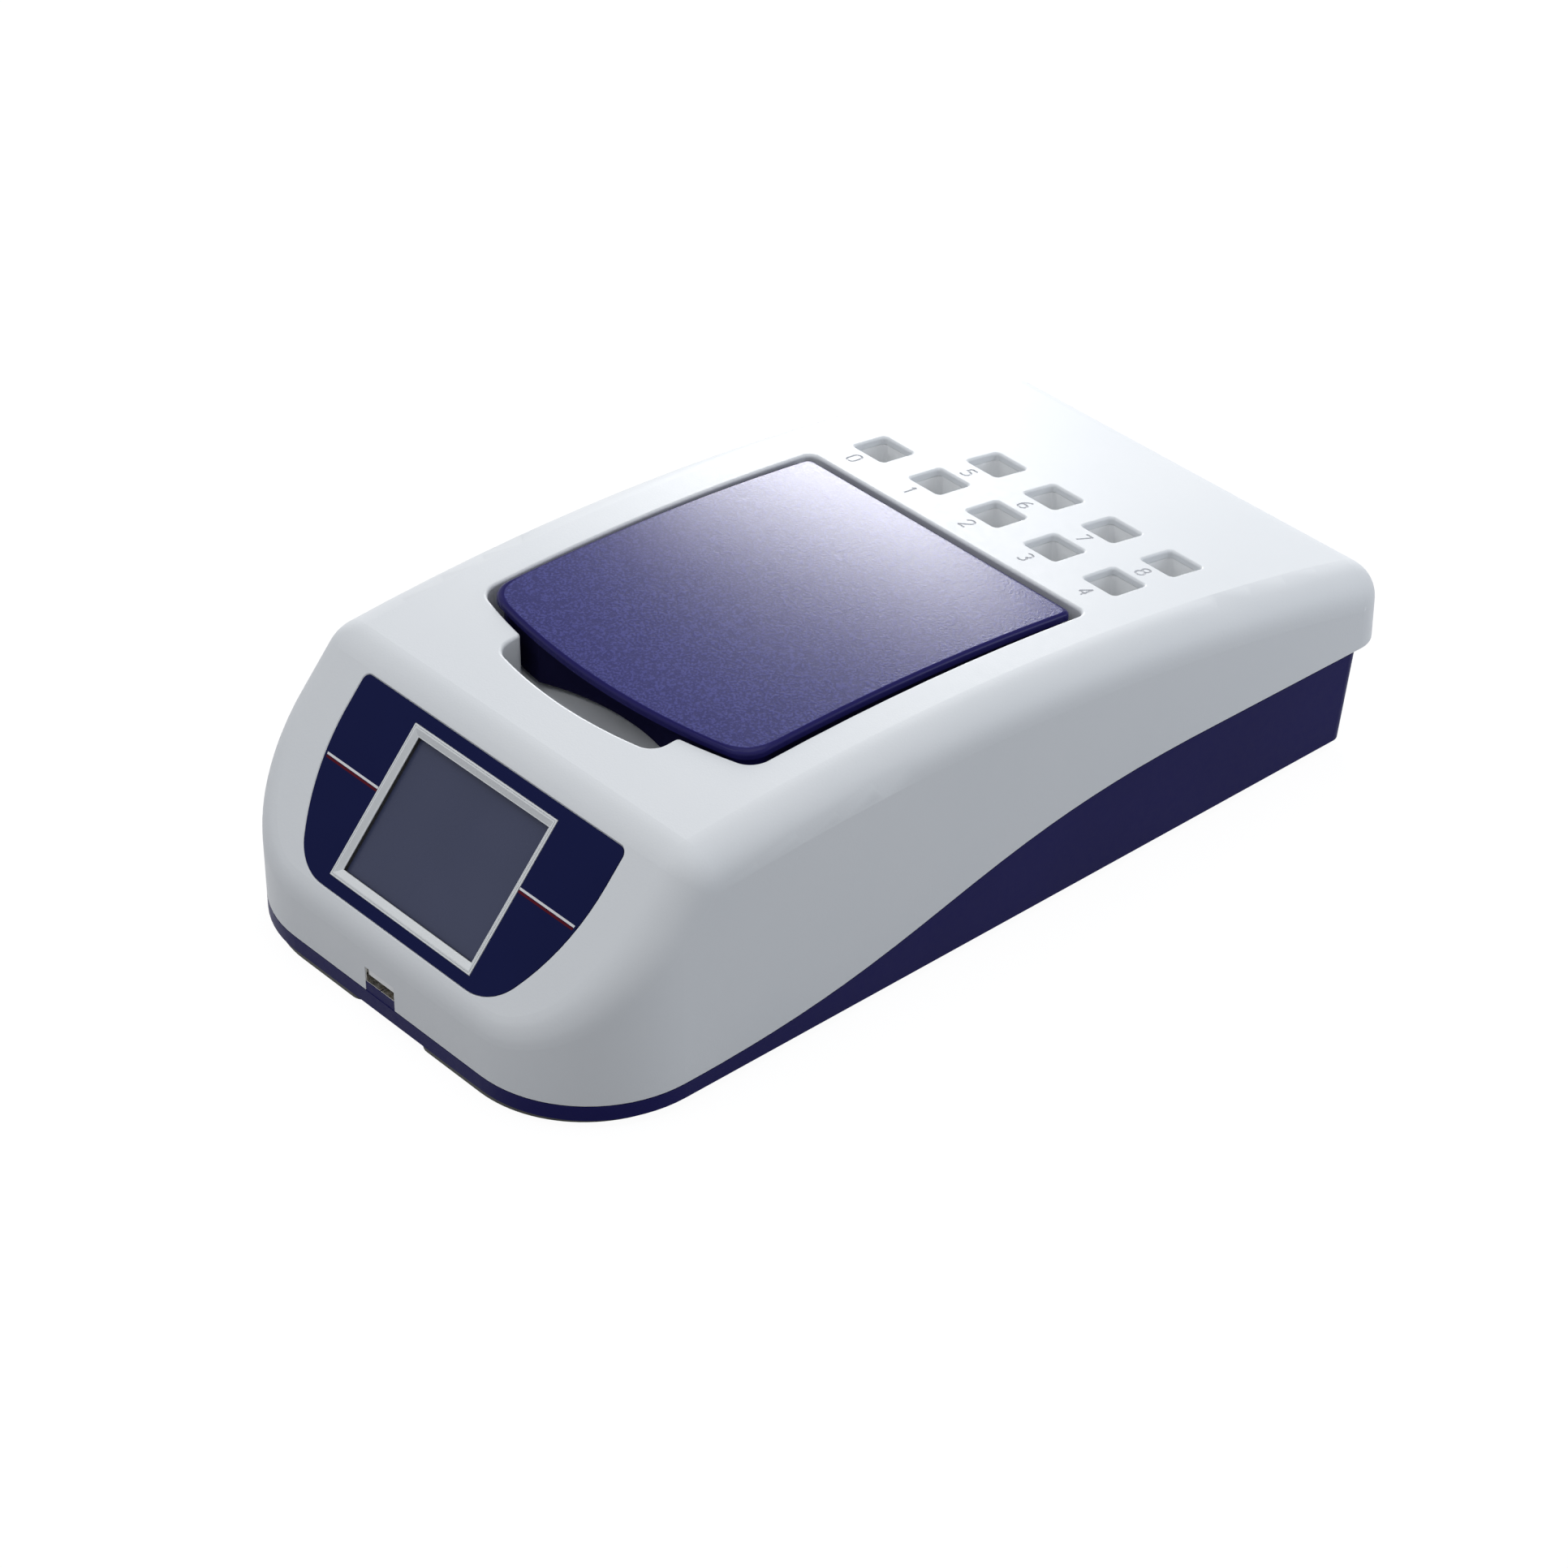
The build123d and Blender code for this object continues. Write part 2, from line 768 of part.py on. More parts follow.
def overlay_shape(grow, low, high):
    """The panel overlay: straight top, sides that curve in, and round lower corners."""
    x = overlay_half_width + grow
    side_radius = overlay_side_radius + grow
    corner = overlay_corner_radius + grow
    side_centre_x = overlay_half_width - overlay_side_radius
    drop = overlay_straight_end - overlay_bottom - overlay_corner_radius
    reach = overlay_side_radius - overlay_corner_radius
    run = math.sqrt(reach**2 - drop**2)
    corner_centre = (side_centre_x + run, overlay_straight_end - drop)
    meeting = (
        side_centre_x + side_radius * run / reach,
        overlay_straight_end - side_radius * drop / reach,
    )
    half_turn = math.atan2(drop, run) / 2
    side_middle = (
        side_centre_x + side_radius * math.cos(half_turn),
        overlay_straight_end - side_radius * math.sin(half_turn),
    )
    bottom = overlay_bottom - grow
    corner_turn = (math.atan2(drop, run) + math.pi / 2) / 2
    corner_middle = (
        corner_centre[0] + corner * math.cos(corner_turn),
        corner_centre[1] - corner * math.sin(corner_turn),
    )
    top = overlay_top + grow
    half = Polyline((0, top), (x, top), (x, overlay_straight_end))
    half += ThreePointArc((x, overlay_straight_end), side_middle, meeting)
    half += ThreePointArc(meeting, corner_middle, (corner_centre[0], bottom))
    half += Polyline((corner_centre[0], bottom), (0, bottom), (0, top))
    face = make_face(half)
    face = face + mirror(face, about=Plane.YZ)
    top_corners = face.vertices().sort_by(Axis.Y)[-2:]
    face = fillet(top_corners, overlay_top_corner_radius + grow)
    return panel_plane * Pos(0, 0, low) * extrude(face, high - low)


def frame_slab(inset, low, high):
    """A slab as wide and long as the screen's frame, less an inset on each side."""
    return panel_slab(frame_width - 2 * inset, frame_length - 2 * inset, low, high)


def screen_bevel():
    """The frame's sloping sides, from the land beside its rim down to its lower lip."""
    wide = Rectangle(frame_width - 2 * frame_slope_start, frame_length - 2 * frame_slope_start)
    narrow = Rectangle(screen_width + 2 * frame_lip_width, screen_length + 2 * frame_lip_width)
    solid = loft([Pos(0, 0, frame_rise) * wide, Pos(0, 0, -frame_slope_depth) * narrow], ruled=True)
    return on_panel(solid, frame_middle)


def make_display():
    frame = frame_slab(0, -overlay_recess, frame_rise)
    frame = chamfer(frame.faces().sort_by(Axis(frame.center(), panel_plane.z_dir))[-1].edges(),
                    frame_chamfer)
    frame += frame_slab(frame_flange, -frame_seat, 0)
    groove_floor = frame_rise - frame_groove_depth
    frame -= (frame_slab(frame_rim, groove_floor, frame_rise)
              - frame_slab(frame_rim + frame_groove_width, groove_floor, frame_rise))
    frame -= screen_bevel()
    frame -= panel_slab(screen_width, screen_length, -frame_seat, 0)
    seal = frame_slab(frame_flange, -glass_depth, -frame_seat)
    seal -= panel_slab(screen_width, screen_length, -glass_depth, -frame_seat)
    window = overlay_clearance * 2
    overlay = overlay_shape(0, -overlay_recess, overlay_thickness - overlay_recess)
    overlay -= panel_slab(frame_width + window, frame_length + window, -wall, wall)
    glass_back = -glass_depth - glass_thickness
    glass = panel_slab(screen_width + 2 * glass_margin, screen_length + 2 * glass_margin,
                       glass_back, -glass_depth)
    module_back = glass_back - module_thickness
    module = panel_slab(screen_width + 2 * module_margin, screen_length + 2 * module_margin,
                        module_back, glass_back)
    board = panel_slab(screen_width + 2 * display_board_side_margin,
                       screen_length + 2 * display_board_end_margin,
                       module_back - board_thickness, module_back)
    for across, up in display_board_holes():
        board -= on_panel(Cylinder(small_screw_radius, REACH), up, 0, across)
    return {
        "display_frame": frame,
        "display_seal": seal,
        "display_overlay": overlay,
        "touch_panel": glass,
        "display_module": module,
        "display_board": board,
    }


def display_board_holes():
    across = screen_width / 2 + display_board_side_margin - board_inset
    up = screen_length / 2 + display_board_end_margin - board_inset
    return [(x, frame_middle + y) for x in (-across, across) for y in (-up, up)]


# Engraved digits, each drawn with a few strokes

def digit_strokes(digit):
    """The centre lines of one digit. Its lower left corner is the origin."""
    w, h = digit_width - digit_stroke, digit_height - digit_stroke
    r = w / 2
    upper = h - r * 0.9
    if digit == 0:
        return [
            CenterArc((r, h - r), r, 0, 180), CenterArc((r, r), r, 180, 180),
            Line((0, r), (0, h - r)), Line((w, r), (w, h - r)),
        ]
    if digit == 1:
        return [Line((r, 0), (r, h)), Line((r, h), (r * 0.3, h * 0.78))]
    if digit == 2:
        return [CenterArc((r, h - r), r, -30, 210), Line((r + r * 0.866, h - r * 1.5), (0, 0)),
                Line((0, 0), (w, 0))]
    if digit == 3:
        return [
            CenterArc((r, h - h / 4), h / 4, -90, 230), CenterArc((r, h / 4), h / 4, -140, 230),
        ]
    if digit == 4:
        return [Line((w * 0.75, 0), (w * 0.75, h)), Line((w * 0.75, h), (0, h * 0.3)),
                Line((0, h * 0.3), (w, h * 0.3))]
    if digit == 5:
        return [Line((w, h), (w * 0.15, h)), Line((w * 0.15, h), (w * 0.08, h * 0.58)),
                CenterArc((r * 0.9, h * 0.31), h * 0.31, -130, 240)]
    if digit == 6:
        return [CenterArc((r, r), r, 0, 360), ThreePointArc((0, r), (w * 0.2, upper), (w * 0.8, h))]
    if digit == 7:
        return [Line((0, h), (w, h)), Line((w, h), (w * 0.3, 0))]
    return [Pos(r, h * 0.27) * CenterArc((0, 0), h * 0.27, 0, 360),
            Pos(r, h * 0.77) * CenterArc((0, 0), h * 0.23, 0, 360)]


def stroke_shape(line, height):
    """One stroke, made wide, with round ends."""
    ribbon = trace([line], digit_stroke)
    return extrude(ribbon, height)


def well_places():
    """Every well's number and middle, along the front row and then the rear row."""
    places = []
    for row, (first, last) in enumerate(well_columns):
        y = well_front_row_y + row * well_row_spacing
        for column in range(first, last + 1):
            places.append((len(places), column * well_pitch, y))
    return places


def well_hole(x, y, size, bottom, top):
    outline = RectangleRounded(size, size, well_corner_radius)
    return extrude(Pos(x, y, bottom) * outline, top - bottom)


def engraving():
    """The digits in front of the wells, as cutters that reach down into the arched top."""
    groove = crown_radius - digit_depth
    cutter = None
    for digit, x, y in well_places():
        low_y = y - digit_lead - digit_height / 2 + digit_stroke / 2
        left_x = x - digit_width / 2 + digit_stroke / 2
        for line in digit_strokes(digit):
            stroke = Pos(left_x, low_y, deck_height) * stroke_shape(line, HALF_REACH / 2)
            cutter = stroke if cutter is None else cutter + stroke
    under = Pos(0, crown_y, crown_height - crown_radius) * Rot(0, 90, 0)
    under *= Cylinder(groove, 4 * REACH)
    return cutter - under


# Cover

def case_screw_points():
    places = zip(case_screw_xs, case_screw_ys)
    return [(side * x, y) for x, y in places for side in (-1, 1)]


def rack_screw_points():
    ys = (rack_front_y + rack_screw_inset, rack_rear_y - rack_screw_inset)
    return [(side * rack_screw_x, y) for side in (-1, 1) for y in ys]


def hinge_screw_points():
    return [(side * hinge_x + end * hinge_screw_offset, hinge_y)
            for side in (-1, 1) for end in (-1, 1)]


def on_crown(edge, front, back):
    """Whether an edge lies on the case's arched top, between two places along the case."""
    middle = edge @ 0.5
    flat_reach = side_x - edge_radius - OVERSHOOT / 2
    return (
        on_arch(edge, crown_height, crown_y, crown_radius)
        and abs(middle.X) < flat_reach and front < middle.Y < back
    )


def on_recess_rim(edge):
    """Whether an edge is the rim of the overlay's recess in the sloping front panel."""
    place = panel_plane.to_local_coords(edge @ 0.5)
    spare = 2 * overlay_clearance
    return (
        abs(place.Z) < overlay_clearance and abs(place.X) < overlay_half_width + spare
        and overlay_bottom - spare < place.Y < overlay_top + spare
    )


def make_cover():
    outside = envelope(0)
    cover = outside - envelope(wall)
    rim = (outside & below_split(wall)) - tray_block(wall, -HALF_REACH)
    cover += rim
    opening = opening_outline()
    well = extrude(Pos(0, 0, deck_bottom) * offset(opening, wall), REACH)
    cover += well & outside
    cavity = extrude(Pos(0, 0, deck_height) * opening, REACH)
    cavity = fillet(cavity.faces().sort_by(Axis.Z)[0].edges(), deck_fillet)
    cover -= cavity
    for x, y in case_screw_points():
        column = upright(x, y, post_top, REACH, case_post_radius) & envelope(wall / 2)
        cover += column - cavity
    boss_bottom = rack_ear_height + rack_ear
    for x, y in rack_screw_points():
        cover += upright(x, y, boss_bottom, REACH, rack_boss_radius) & envelope(wall / 2)
    for x, y in hinge_screw_points():
        cover += upright(x, y, deck_bottom - hinge_boss_depth, deck_height - OVERSHOOT,
                         hinge_boss_radius)
    for across, up in display_board_holes():
        post = rod((0, 0, -display_back), (0, 0, -wall / 2), standoff_radius)
        cover += on_panel(post, up, 0, across)
    for _, x, y in well_places():
        cover -= well_hole(x, y, well_size, deck_bottom, REACH)
    opening_edges = [
        edge for edge in cover.edges()
        if on_crown(edge, opening_front_y - recess_depth - OVERSHOOT, opening_rear_y + OVERSHOOT)
    ]
    cover = fillet(opening_edges, opening_edge_radius)
    well_edges = [
        edge for edge in cover.edges()
        if on_crown(edge, opening_rear_y + opening_edge_radius + OVERSHOOT, rear_y - edge_radius)
    ]
    cover = fillet(well_edges, well_edge_radius)
    cover -= engraving()
    cover -= block(around(0, chamber_half_width - chamber_wall),
                   around(beam_y, chamber_half_length - chamber_wall),
                   (deck_bottom - OVERSHOOT, deck_height + OVERSHOOT))
    for x, y in chamber_screw_points():
        cover -= upright(x, y, deck_bottom - OVERSHOOT, deck_height - deck_skin,
                         small_screw_radius)
    cover -= overlay_shape(overlay_clearance, -overlay_recess, REACH)
    cover = chamfer([edge for edge in cover.edges() if on_recess_rim(edge)], overlay_edge_chamfer)
    cover -= frame_slab(frame_flange - overlay_clearance, -2 * wall, wall)
    cover -= block(around(usb_x, notch_half_width), (front_y - OVERSHOOT, front_y + usb_length),
                   (0, notch_top))
    cover -= below_split()
    for x, y in case_screw_points():
        cover -= upright(x, y, post_top - OVERSHOOT, post_top + case_screw_bite + pilot_spare,
                         case_screw_radius)
    for x, y in rack_screw_points():
        cover -= upright(x, y, rack_ear_height, rack_ear_height + rack_screw_bite + pilot_spare,
                         small_screw_radius)
    for x, y in hinge_screw_points():
        cover -= upright(x, y, deck_bottom - hinge_screw_bite - pilot_spare,
                         deck_height + OVERSHOOT, small_screw_radius)
    for across, up in display_board_holes():
        pilot = rod((0, 0, -display_back - OVERSHOOT), (0, 0, -wall), small_screw_radius)
        cover -= on_panel(pilot, up, 0, across)
    return cover


# Tray

def main_board_holes():
    x = main_board_half_width - board_inset
    ys = (main_board_front_y + board_inset, main_board_rear_y - board_inset)
    return [(side * x, y) for side in (-1, 1) for y in ys]


def rear_board_holes():
    xs = (rear_board_left_x + board_inset, rear_board_right_x - board_inset)
    ys = (rear_board_front_y + board_inset, rear_board_rear_y - board_inset)
    return [(x, y) for x in xs for y in ys]


def usb_board_holes():
    x = usb_board_half_width - usb_board_hole_inset
    y = front_y + usb_recess + usb_length + usb_board_hole_inset
    return [(usb_x + side * x, y) for side in (-1, 1)]


def plate_holes():
    xs = (plate_hole_inset - plate_half_width, plate_half_width - plate_hole_inset)
    ys = (plate_front_y + plate_hole_inset, plate_rear_y - plate_hole_inset)
    return [(x, y) for x in xs for y in ys]


def front_foot_outline(inset):
    x = side_x - front_foot_side_inset - inset
    y = front_y + front_foot_front_inset + inset
    outline = make_face(Polyline((-x, y), (x, y), (x, rear_y), (-x, rear_y), close=True))
    return fillet(outline.vertices().sort_by(Axis.Y)[:2], front_foot_corner_radius - inset)


def front_foot(side, bottom, top, grow=0.0):
    """A curved strip that follows a front corner of the tray."""
    plan = front_foot_outline(-grow) - front_foot_outline(front_foot_width + grow)
    ring = extrude(Plane.XY.offset(bottom) * plan, top - bottom)
    start_x = front_foot_inner_x - grow
    end_y = front_y + front_foot_length + grow
    x = (side * start_x, side * REACH)
    strip = ring & block((min(x), max(x)), (-2 * REACH, end_y), (bottom, top))
    ends = strip.edges().filter_by(Axis.Z)
    outer_front = ends.sort_by_distance((side * start_x, front_y, bottom))[0]
    outer_side = ends.sort_by_distance((side * side_x, end_y, bottom))[0]
    return fillet([outer_front, outer_side], front_foot_end_radius)


def with_post(tray, x, y, top, radius, pilot_bottom):
    """The tray with one more screw post on its floor."""
    tray += upright(x, y, floor_top - OVERSHOOT, top, radius)
    return tray - upright(x, y, pilot_bottom, top + OVERSHOOT, small_screw_radius)


def make_tray():
    tray = tray_block(0, tray_bottom) - tray_block(wall, floor_top)
    lip_root = tray_block(wall, floor_top) & below_split(-split_gap)
    lip_root -= below_split(-2 * lip_height)
    lip_top = tray_block(wall + lip_clearance, floor_top) & below_split(lip_height)
    lip_top -= below_split(-lip_height)
    hollow = tray_block(wall + lip_clearance + lip_thickness, floor_top)
    tray = (tray & below_split(-split_gap)) + (lip_root - hollow) + (lip_top - hollow)
    sill = block(around(usb_x, notch_half_width - usb_sill_gap),
                 (front_y + usb_sill_recess, front_y + wall + lip_clearance),
                 (split_front_height - OVERSHOOT, usb_floor))
    tray -= block(around(usb_x, notch_half_width), (front_y - OVERSHOOT, front_y + 3 * wall),
                  (usb_floor, notch_top))
    tray += sill
    for x, y in case_screw_points():
        tray += upright(x, y, tray_bottom + OVERSHOOT, post_top, case_post_radius)
        tray -= upright(x, y, 0, case_head_seat, case_screw_head_radius + screw_well_gap)
        tray -= upright(x, y, 0, REACH, case_screw_radius + screw_hole_gap)
    board_pilot = floor_top + board_screw_tip - pilot_spare
    for x, y in main_board_holes():
        tray = with_post(tray, x, y, main_board_height, standoff_radius, board_pilot)
    for x, y in rear_board_holes():
        tray = with_post(tray, x, y, rear_board_height, standoff_radius, board_pilot)
    for x, y in plate_holes():
        tray = with_post(tray, x, y, plate_height, standoff_radius, floor_top + plate_screw_tip)
    for x, y in usb_board_holes():
        tray = with_post(tray, x, y, usb_board_height, usb_standoff_radius,
                         floor_top + usb_screw_tip - pilot_spare)
    foot_top = tray_bottom + foot_recess
    for side in (-1, 1):
        tray -= front_foot(side, 0, foot_top, foot_clearance)
        tray -= upright(side * rear_foot_x, rear_foot_y, 0, foot_top,
                        rear_foot_radius + foot_clearance)
    tray -= block(around(door_x, door_width / 2), around(beam_y, door_length / 2),
                  (0, tray_bottom + door_rebate))
    tray -= block(around(door_x, door_width / 2 - door_ledge),
                  around(beam_y, door_length / 2 - door_ledge), (0, floor_top + OVERSHOOT))
    tray += upright(door_x, door_screw_y, tray_bottom + door_rebate, floor_top + door_boss_rise,
                    standoff_radius)
    tray -= upright(door_x, door_screw_y, 0, floor_top + door_screw_end, small_screw_radius)
    tray -= block(around(bare_plate_x, bare_plate_width / 2 + bare_plate_gap),
                  around(beam_y, bare_plate_length / 2 + bare_plate_gap),
                  (0, tray_bottom + bare_plate_depth))
    for i in range(vent_count):
        x = (i - (vent_count - 1) / 2) * vent_pitch
        tray -= block(around(x, vent_width / 2), around(vent_y, vent_length / 2),
                      (0, floor_top + OVERSHOOT))
    tray -= rod((jack_x, 0, jack_centre_height), (jack_x, rear_y, jack_centre_height),
                jack_radius + port_clearance) & rear_wall_zone()
    data_hole = block(around(data_x, data_width / 2 + port_clearance), (0, rear_y),
                      (board_top - port_clearance, board_top + data_height + port_clearance))
    tray -= data_hole & rear_wall_zone()
    cutout = Box(switch_width + 2 * switch_fit, switch_length + 2 * switch_fit, 4 * wall)
    tray -= rear_plane * Pos(-switch_x, switch_rise, 0) * cutout
    return tray


def rear_wall_zone():
    return block(around(0, side_x), (rear_board_rear_y, rear_y),
                 (floor_top, split_rear_height - OVERSHOOT))


# Feet, door and plate under the tray

def make_underside():
    foot_top = tray_bottom + foot_recess
    front = [front_foot(side, 0, foot_top) for side in (-1, 1)]
    rear = []
    for side in (-1, 1):
        foot = upright(side * rear_foot_x, rear_foot_y, 0, foot_top, rear_foot_radius)
        rear.append(chamfer(foot.edges().sort_by(Axis.Z)[0], foot_chamfer))
    door_bottom = tray_bottom + door_lift
    door = block(around(door_x, door_width / 2 - door_gap),
                 around(beam_y, door_length / 2 - door_gap),
                 (door_bottom, tray_bottom + door_rebate))
    door -= upright(door_x, door_screw_y, 0, REACH, small_screw_radius)
    plate = block(around(bare_plate_x, bare_plate_width / 2),
                  around(beam_y, bare_plate_length / 2),
                  (door_bottom, tray_bottom + bare_plate_depth))
    plate = fillet(plate.edges().filter_by(Axis.Z), bare_plate_radius)
    return {
        "front_feet": front,
        "rear_feet": rear,
        "lamp_door": door,
        "lamp_door_screw": small_screw(door_x, door_screw_y, door_bottom,
                                       floor_top + door_screw_end, point_down=False),
        "rating_plate": plate,
    }


# Lid

def liner_screw_points():
    x = lid_half_width - skirt_inset - lid_wall - liner_screw_side_inset
    front = arc_y(x, lid_front_y, lid_front_radius) + skirt_inset + lid_wall
    ys = (front + liner_screw_front_inset, liner_rear_y - liner_screw_rear_inset)
    return [(side * x, y) for side in (-1, 1) for y in ys]


def make_lid():
    plate = extrude(lid_outline(), REACH) & (lid_arch(0) - lid_arch(lid_lip))
    edges = [edge for edge in plate.edges()
             if on_arch(edge, lid_crown_height, lid_crown_y, lid_crown_radius)]
    plate = fillet(edges, lid_edge_radius)
    skirt = extrude(Pos(0, 0, skirt_bottom) * skirt_outline(0), REACH)
    skirt -= extrude(Pos(0, 0, skirt_bottom - OVERSHOOT) * skirt_outline(lid_wall), REACH)
    skirt &= lid_arch(lid_lip / 2)
    skirt -= block(around(0, REACH), (liner_rear_y + liner_gap, REACH), (0, rear_skirt_height))
    lid = plate + skirt
    under_plate = lid_arch(lid_lip / 2)
    for side in (-1, 1):
        ear = side * hinge_x
        slot = block(around(ear, ear_width / 2 + ear_slot_gap),
                     (hinge_y - ear_radius - OVERSHOOT, REACH), (0, REACH))
        lid -= slot & lid_arch(lid_lip)
        for edge in (-1, 1):
            near = ear + edge * lug_inner
            far = ear + edge * lug_outer
            lug = rod((near, hinge_y, hinge_height), (far, hinge_y, hinge_height), ear_radius)
            web = block((min(near, far), max(near, far)), around(hinge_y, ear_radius),
                        (hinge_height, REACH))
            lid += lug + (web & under_plate)
    for x, y in liner_screw_points():
        boss_bottom = liner_height + liner_thickness
        lid += upright(x, y, boss_bottom, REACH, liner_boss_radius) & under_plate
        lid -= upright(x, y, liner_height, liner_height + lid_screw_bite + pilot_spare,
                       small_screw_radius)
    for side in (-1, 1):
        ear = side * hinge_x
        lid -= rod((ear - lug_outer - OVERSHOOT, hinge_y, hinge_height),
                   (ear + lug_outer + OVERSHOOT, hinge_y, hinge_height),
                   hinge_pin_radius + hinge_running_gap)
    liner_face = skirt_outline(lid_wall + liner_gap)
    liner = extrude(Pos(0, 0, liner_height) * liner_face, liner_thickness)
    liner -= block(around(0, REACH), (liner_rear_y, REACH), (0, REACH))
    for x, y in liner_screw_points():
        liner -= upright(x, y, 0, REACH, small_screw_radius + screw_hole_gap)
    inner_x = chamber_half_width + seal_margin
    inner_y = chamber_half_length + seal_margin
    z = (deck_height + seal_gap, liner_height)
    seal = block(around(0, inner_x + seal_width), around(beam_y, inner_y + seal_width), z)
    seal = fillet(seal.edges().filter_by(Axis.Z), seal_width)
    seal -= block(around(0, inner_x), around(beam_y, inner_y), z)
    return {
        "lid_shell": lid,
        "lid_liner": liner,
        "lid_seal": seal,
        "lid_screws": [
            small_screw(x, y, liner_height, liner_height + lid_screw_bite, point_down=False)
            for x, y in liner_screw_points()
        ],
    }


def make_hinge():
    brackets = []
    pins = []
    bracket_top = deck_height + bracket_base
    for side in (-1, 1):
        ear = side * hinge_x
        base = block(around(ear, bracket_width / 2), around(hinge_y, bracket_depth / 2),
                     (deck_height, bracket_top))
        base = fillet(base.edges().filter_by(Axis.Z), bracket_corner_radius)
        x = around(ear, ear_width / 2)
        body = base + block(x, around(hinge_y, ear_radius), (deck_height, hinge_height))
        body += rod((x[0], hinge_y, hinge_height), (x[1], hinge_y, hinge_height), ear_radius)
        body -= rod((x[0] - OVERSHOOT, hinge_y, hinge_height),
                    (x[1] + OVERSHOOT, hinge_y, hinge_height), hinge_pin_radius)
        for point_x, y in hinge_screw_points():
            body -= upright(point_x, y, 0, bracket_top + OVERSHOOT, small_screw_radius)
        brackets.append(body)
        pins.append(rod((ear - lug_outer, hinge_y, hinge_height),
                        (ear + lug_outer, hinge_y, hinge_height), hinge_pin_radius))
    screws = [small_screw(x, y, bracket_top, deck_bottom - hinge_screw_bite)
              for x, y in hinge_screw_points()]
    ring_x = lid_half_width - skirt_inset - lid_wall / 2
    buffers = [
        upright(side * ring_x, y, deck_height, skirt_bottom - seal_gap, buffer_radius)
        for side in (-1, 1) for y in (beam_y - buffer_front_reach, beam_y + buffer_rear_reach)
    ]
    return {
        "hinge_brackets": brackets,
        "hinge_pins": pins,
        "hinge_screws": screws,
        "lid_buffers": buffers,
    }


# Cuvette wells

def make_rack():
    """Two bars with the wells' pockets, joined by ribs, between two side walls with ears."""
    span_y = (rack_front_y, rack_rear_y)
    under = envelope(wall + rack_gap)
    outer = well_size / 2 + well_tube_wall
    rack = []
    for row, (first, last) in enumerate(well_columns):
        bar = block((first * well_pitch - outer, last * well_pitch + outer),
                    around(well_front_row_y + row * well_row_spacing, outer),
                    (well_floor_height - well_tube_wall, REACH))
        rack.append(bar & under)
    rack = rack[0] + rack[1]
    for _, x, y in well_places():
        if y > well_front_row_y:
            rib = block(around(x, rack_plate / 2), (y - well_row_spacing, y),
                        (rack_ear_height, REACH))
            rack += rib & under
    for side in (-1, 1):
        x = (side * rack_half_width, side * (rack_half_width - rack_plate))
        rack += block((min(x), max(x)), span_y, (rack_ear_height, REACH)) & under
        x = (side * (rack_half_width - rack_plate), side * (rack_screw_x + rack_screw_inset))
        for _, y in rack_screw_points()[:2]:
            ear = block((min(x), max(x)), around(y, rack_screw_inset),
                        (rack_ear_height, rack_ear_height + rack_ear))
            rack += ear
    for _, x, y in well_places():
        rack -= well_hole(x, y, well_size, well_floor_height, REACH)
    for x, y in rack_screw_points():
        rack -= upright(x, y, 0, rack_ear_height + rack_ear, small_screw_radius + screw_hole_gap)
    tip = rack_ear_height + rack_screw_bite
    screws = [small_screw(x, y, rack_ear_height, tip, point_down=False)
              for x, y in rack_screw_points()]
    return {"well_rack": rack, "rack_screws": screws}


# Sample chamber

def chamber_box(grow, bottom, top):
    return block(around(0, chamber_half_width + grow), around(beam_y, chamber_half_length + grow),
                 (bottom, top))


def beam(x_from, x_to, radius):
    return rod((x_from, beam_y, beam_height), (x_to, beam_y, beam_height), radius)


def chamber_screw_points():
    x = chamber_half_width + chamber_flange / 2
    y = chamber_half_length + chamber_flange / 2
    return [(side * x, beam_y + end * y) for side in (-1, 1) for end in (-1, 1)]


def spring_bow(slot_y, slot_z, inset):
    """The leaf spring's bow, filled from the leaf to its inner or outer face."""
    leaf_y = slot_y[1] - spring_thickness
    middle_z = (slot_z[0] + slot_z[1]) / 2
    low_z = middle_z - spring_bow_half_length + 2 * inset
    high_z = middle_z + spring_bow_half_length - 2 * inset
    bow = ThreePointArc((leaf_y, low_z), (slot_y[0] + spring_tip_gap + inset, middle_z),
                        (leaf_y, high_z))
    face = Plane.YZ * make_face(bow + Line(bow @ 1, bow @ 0))
    return extrude(face, spring_half_width, both=True)


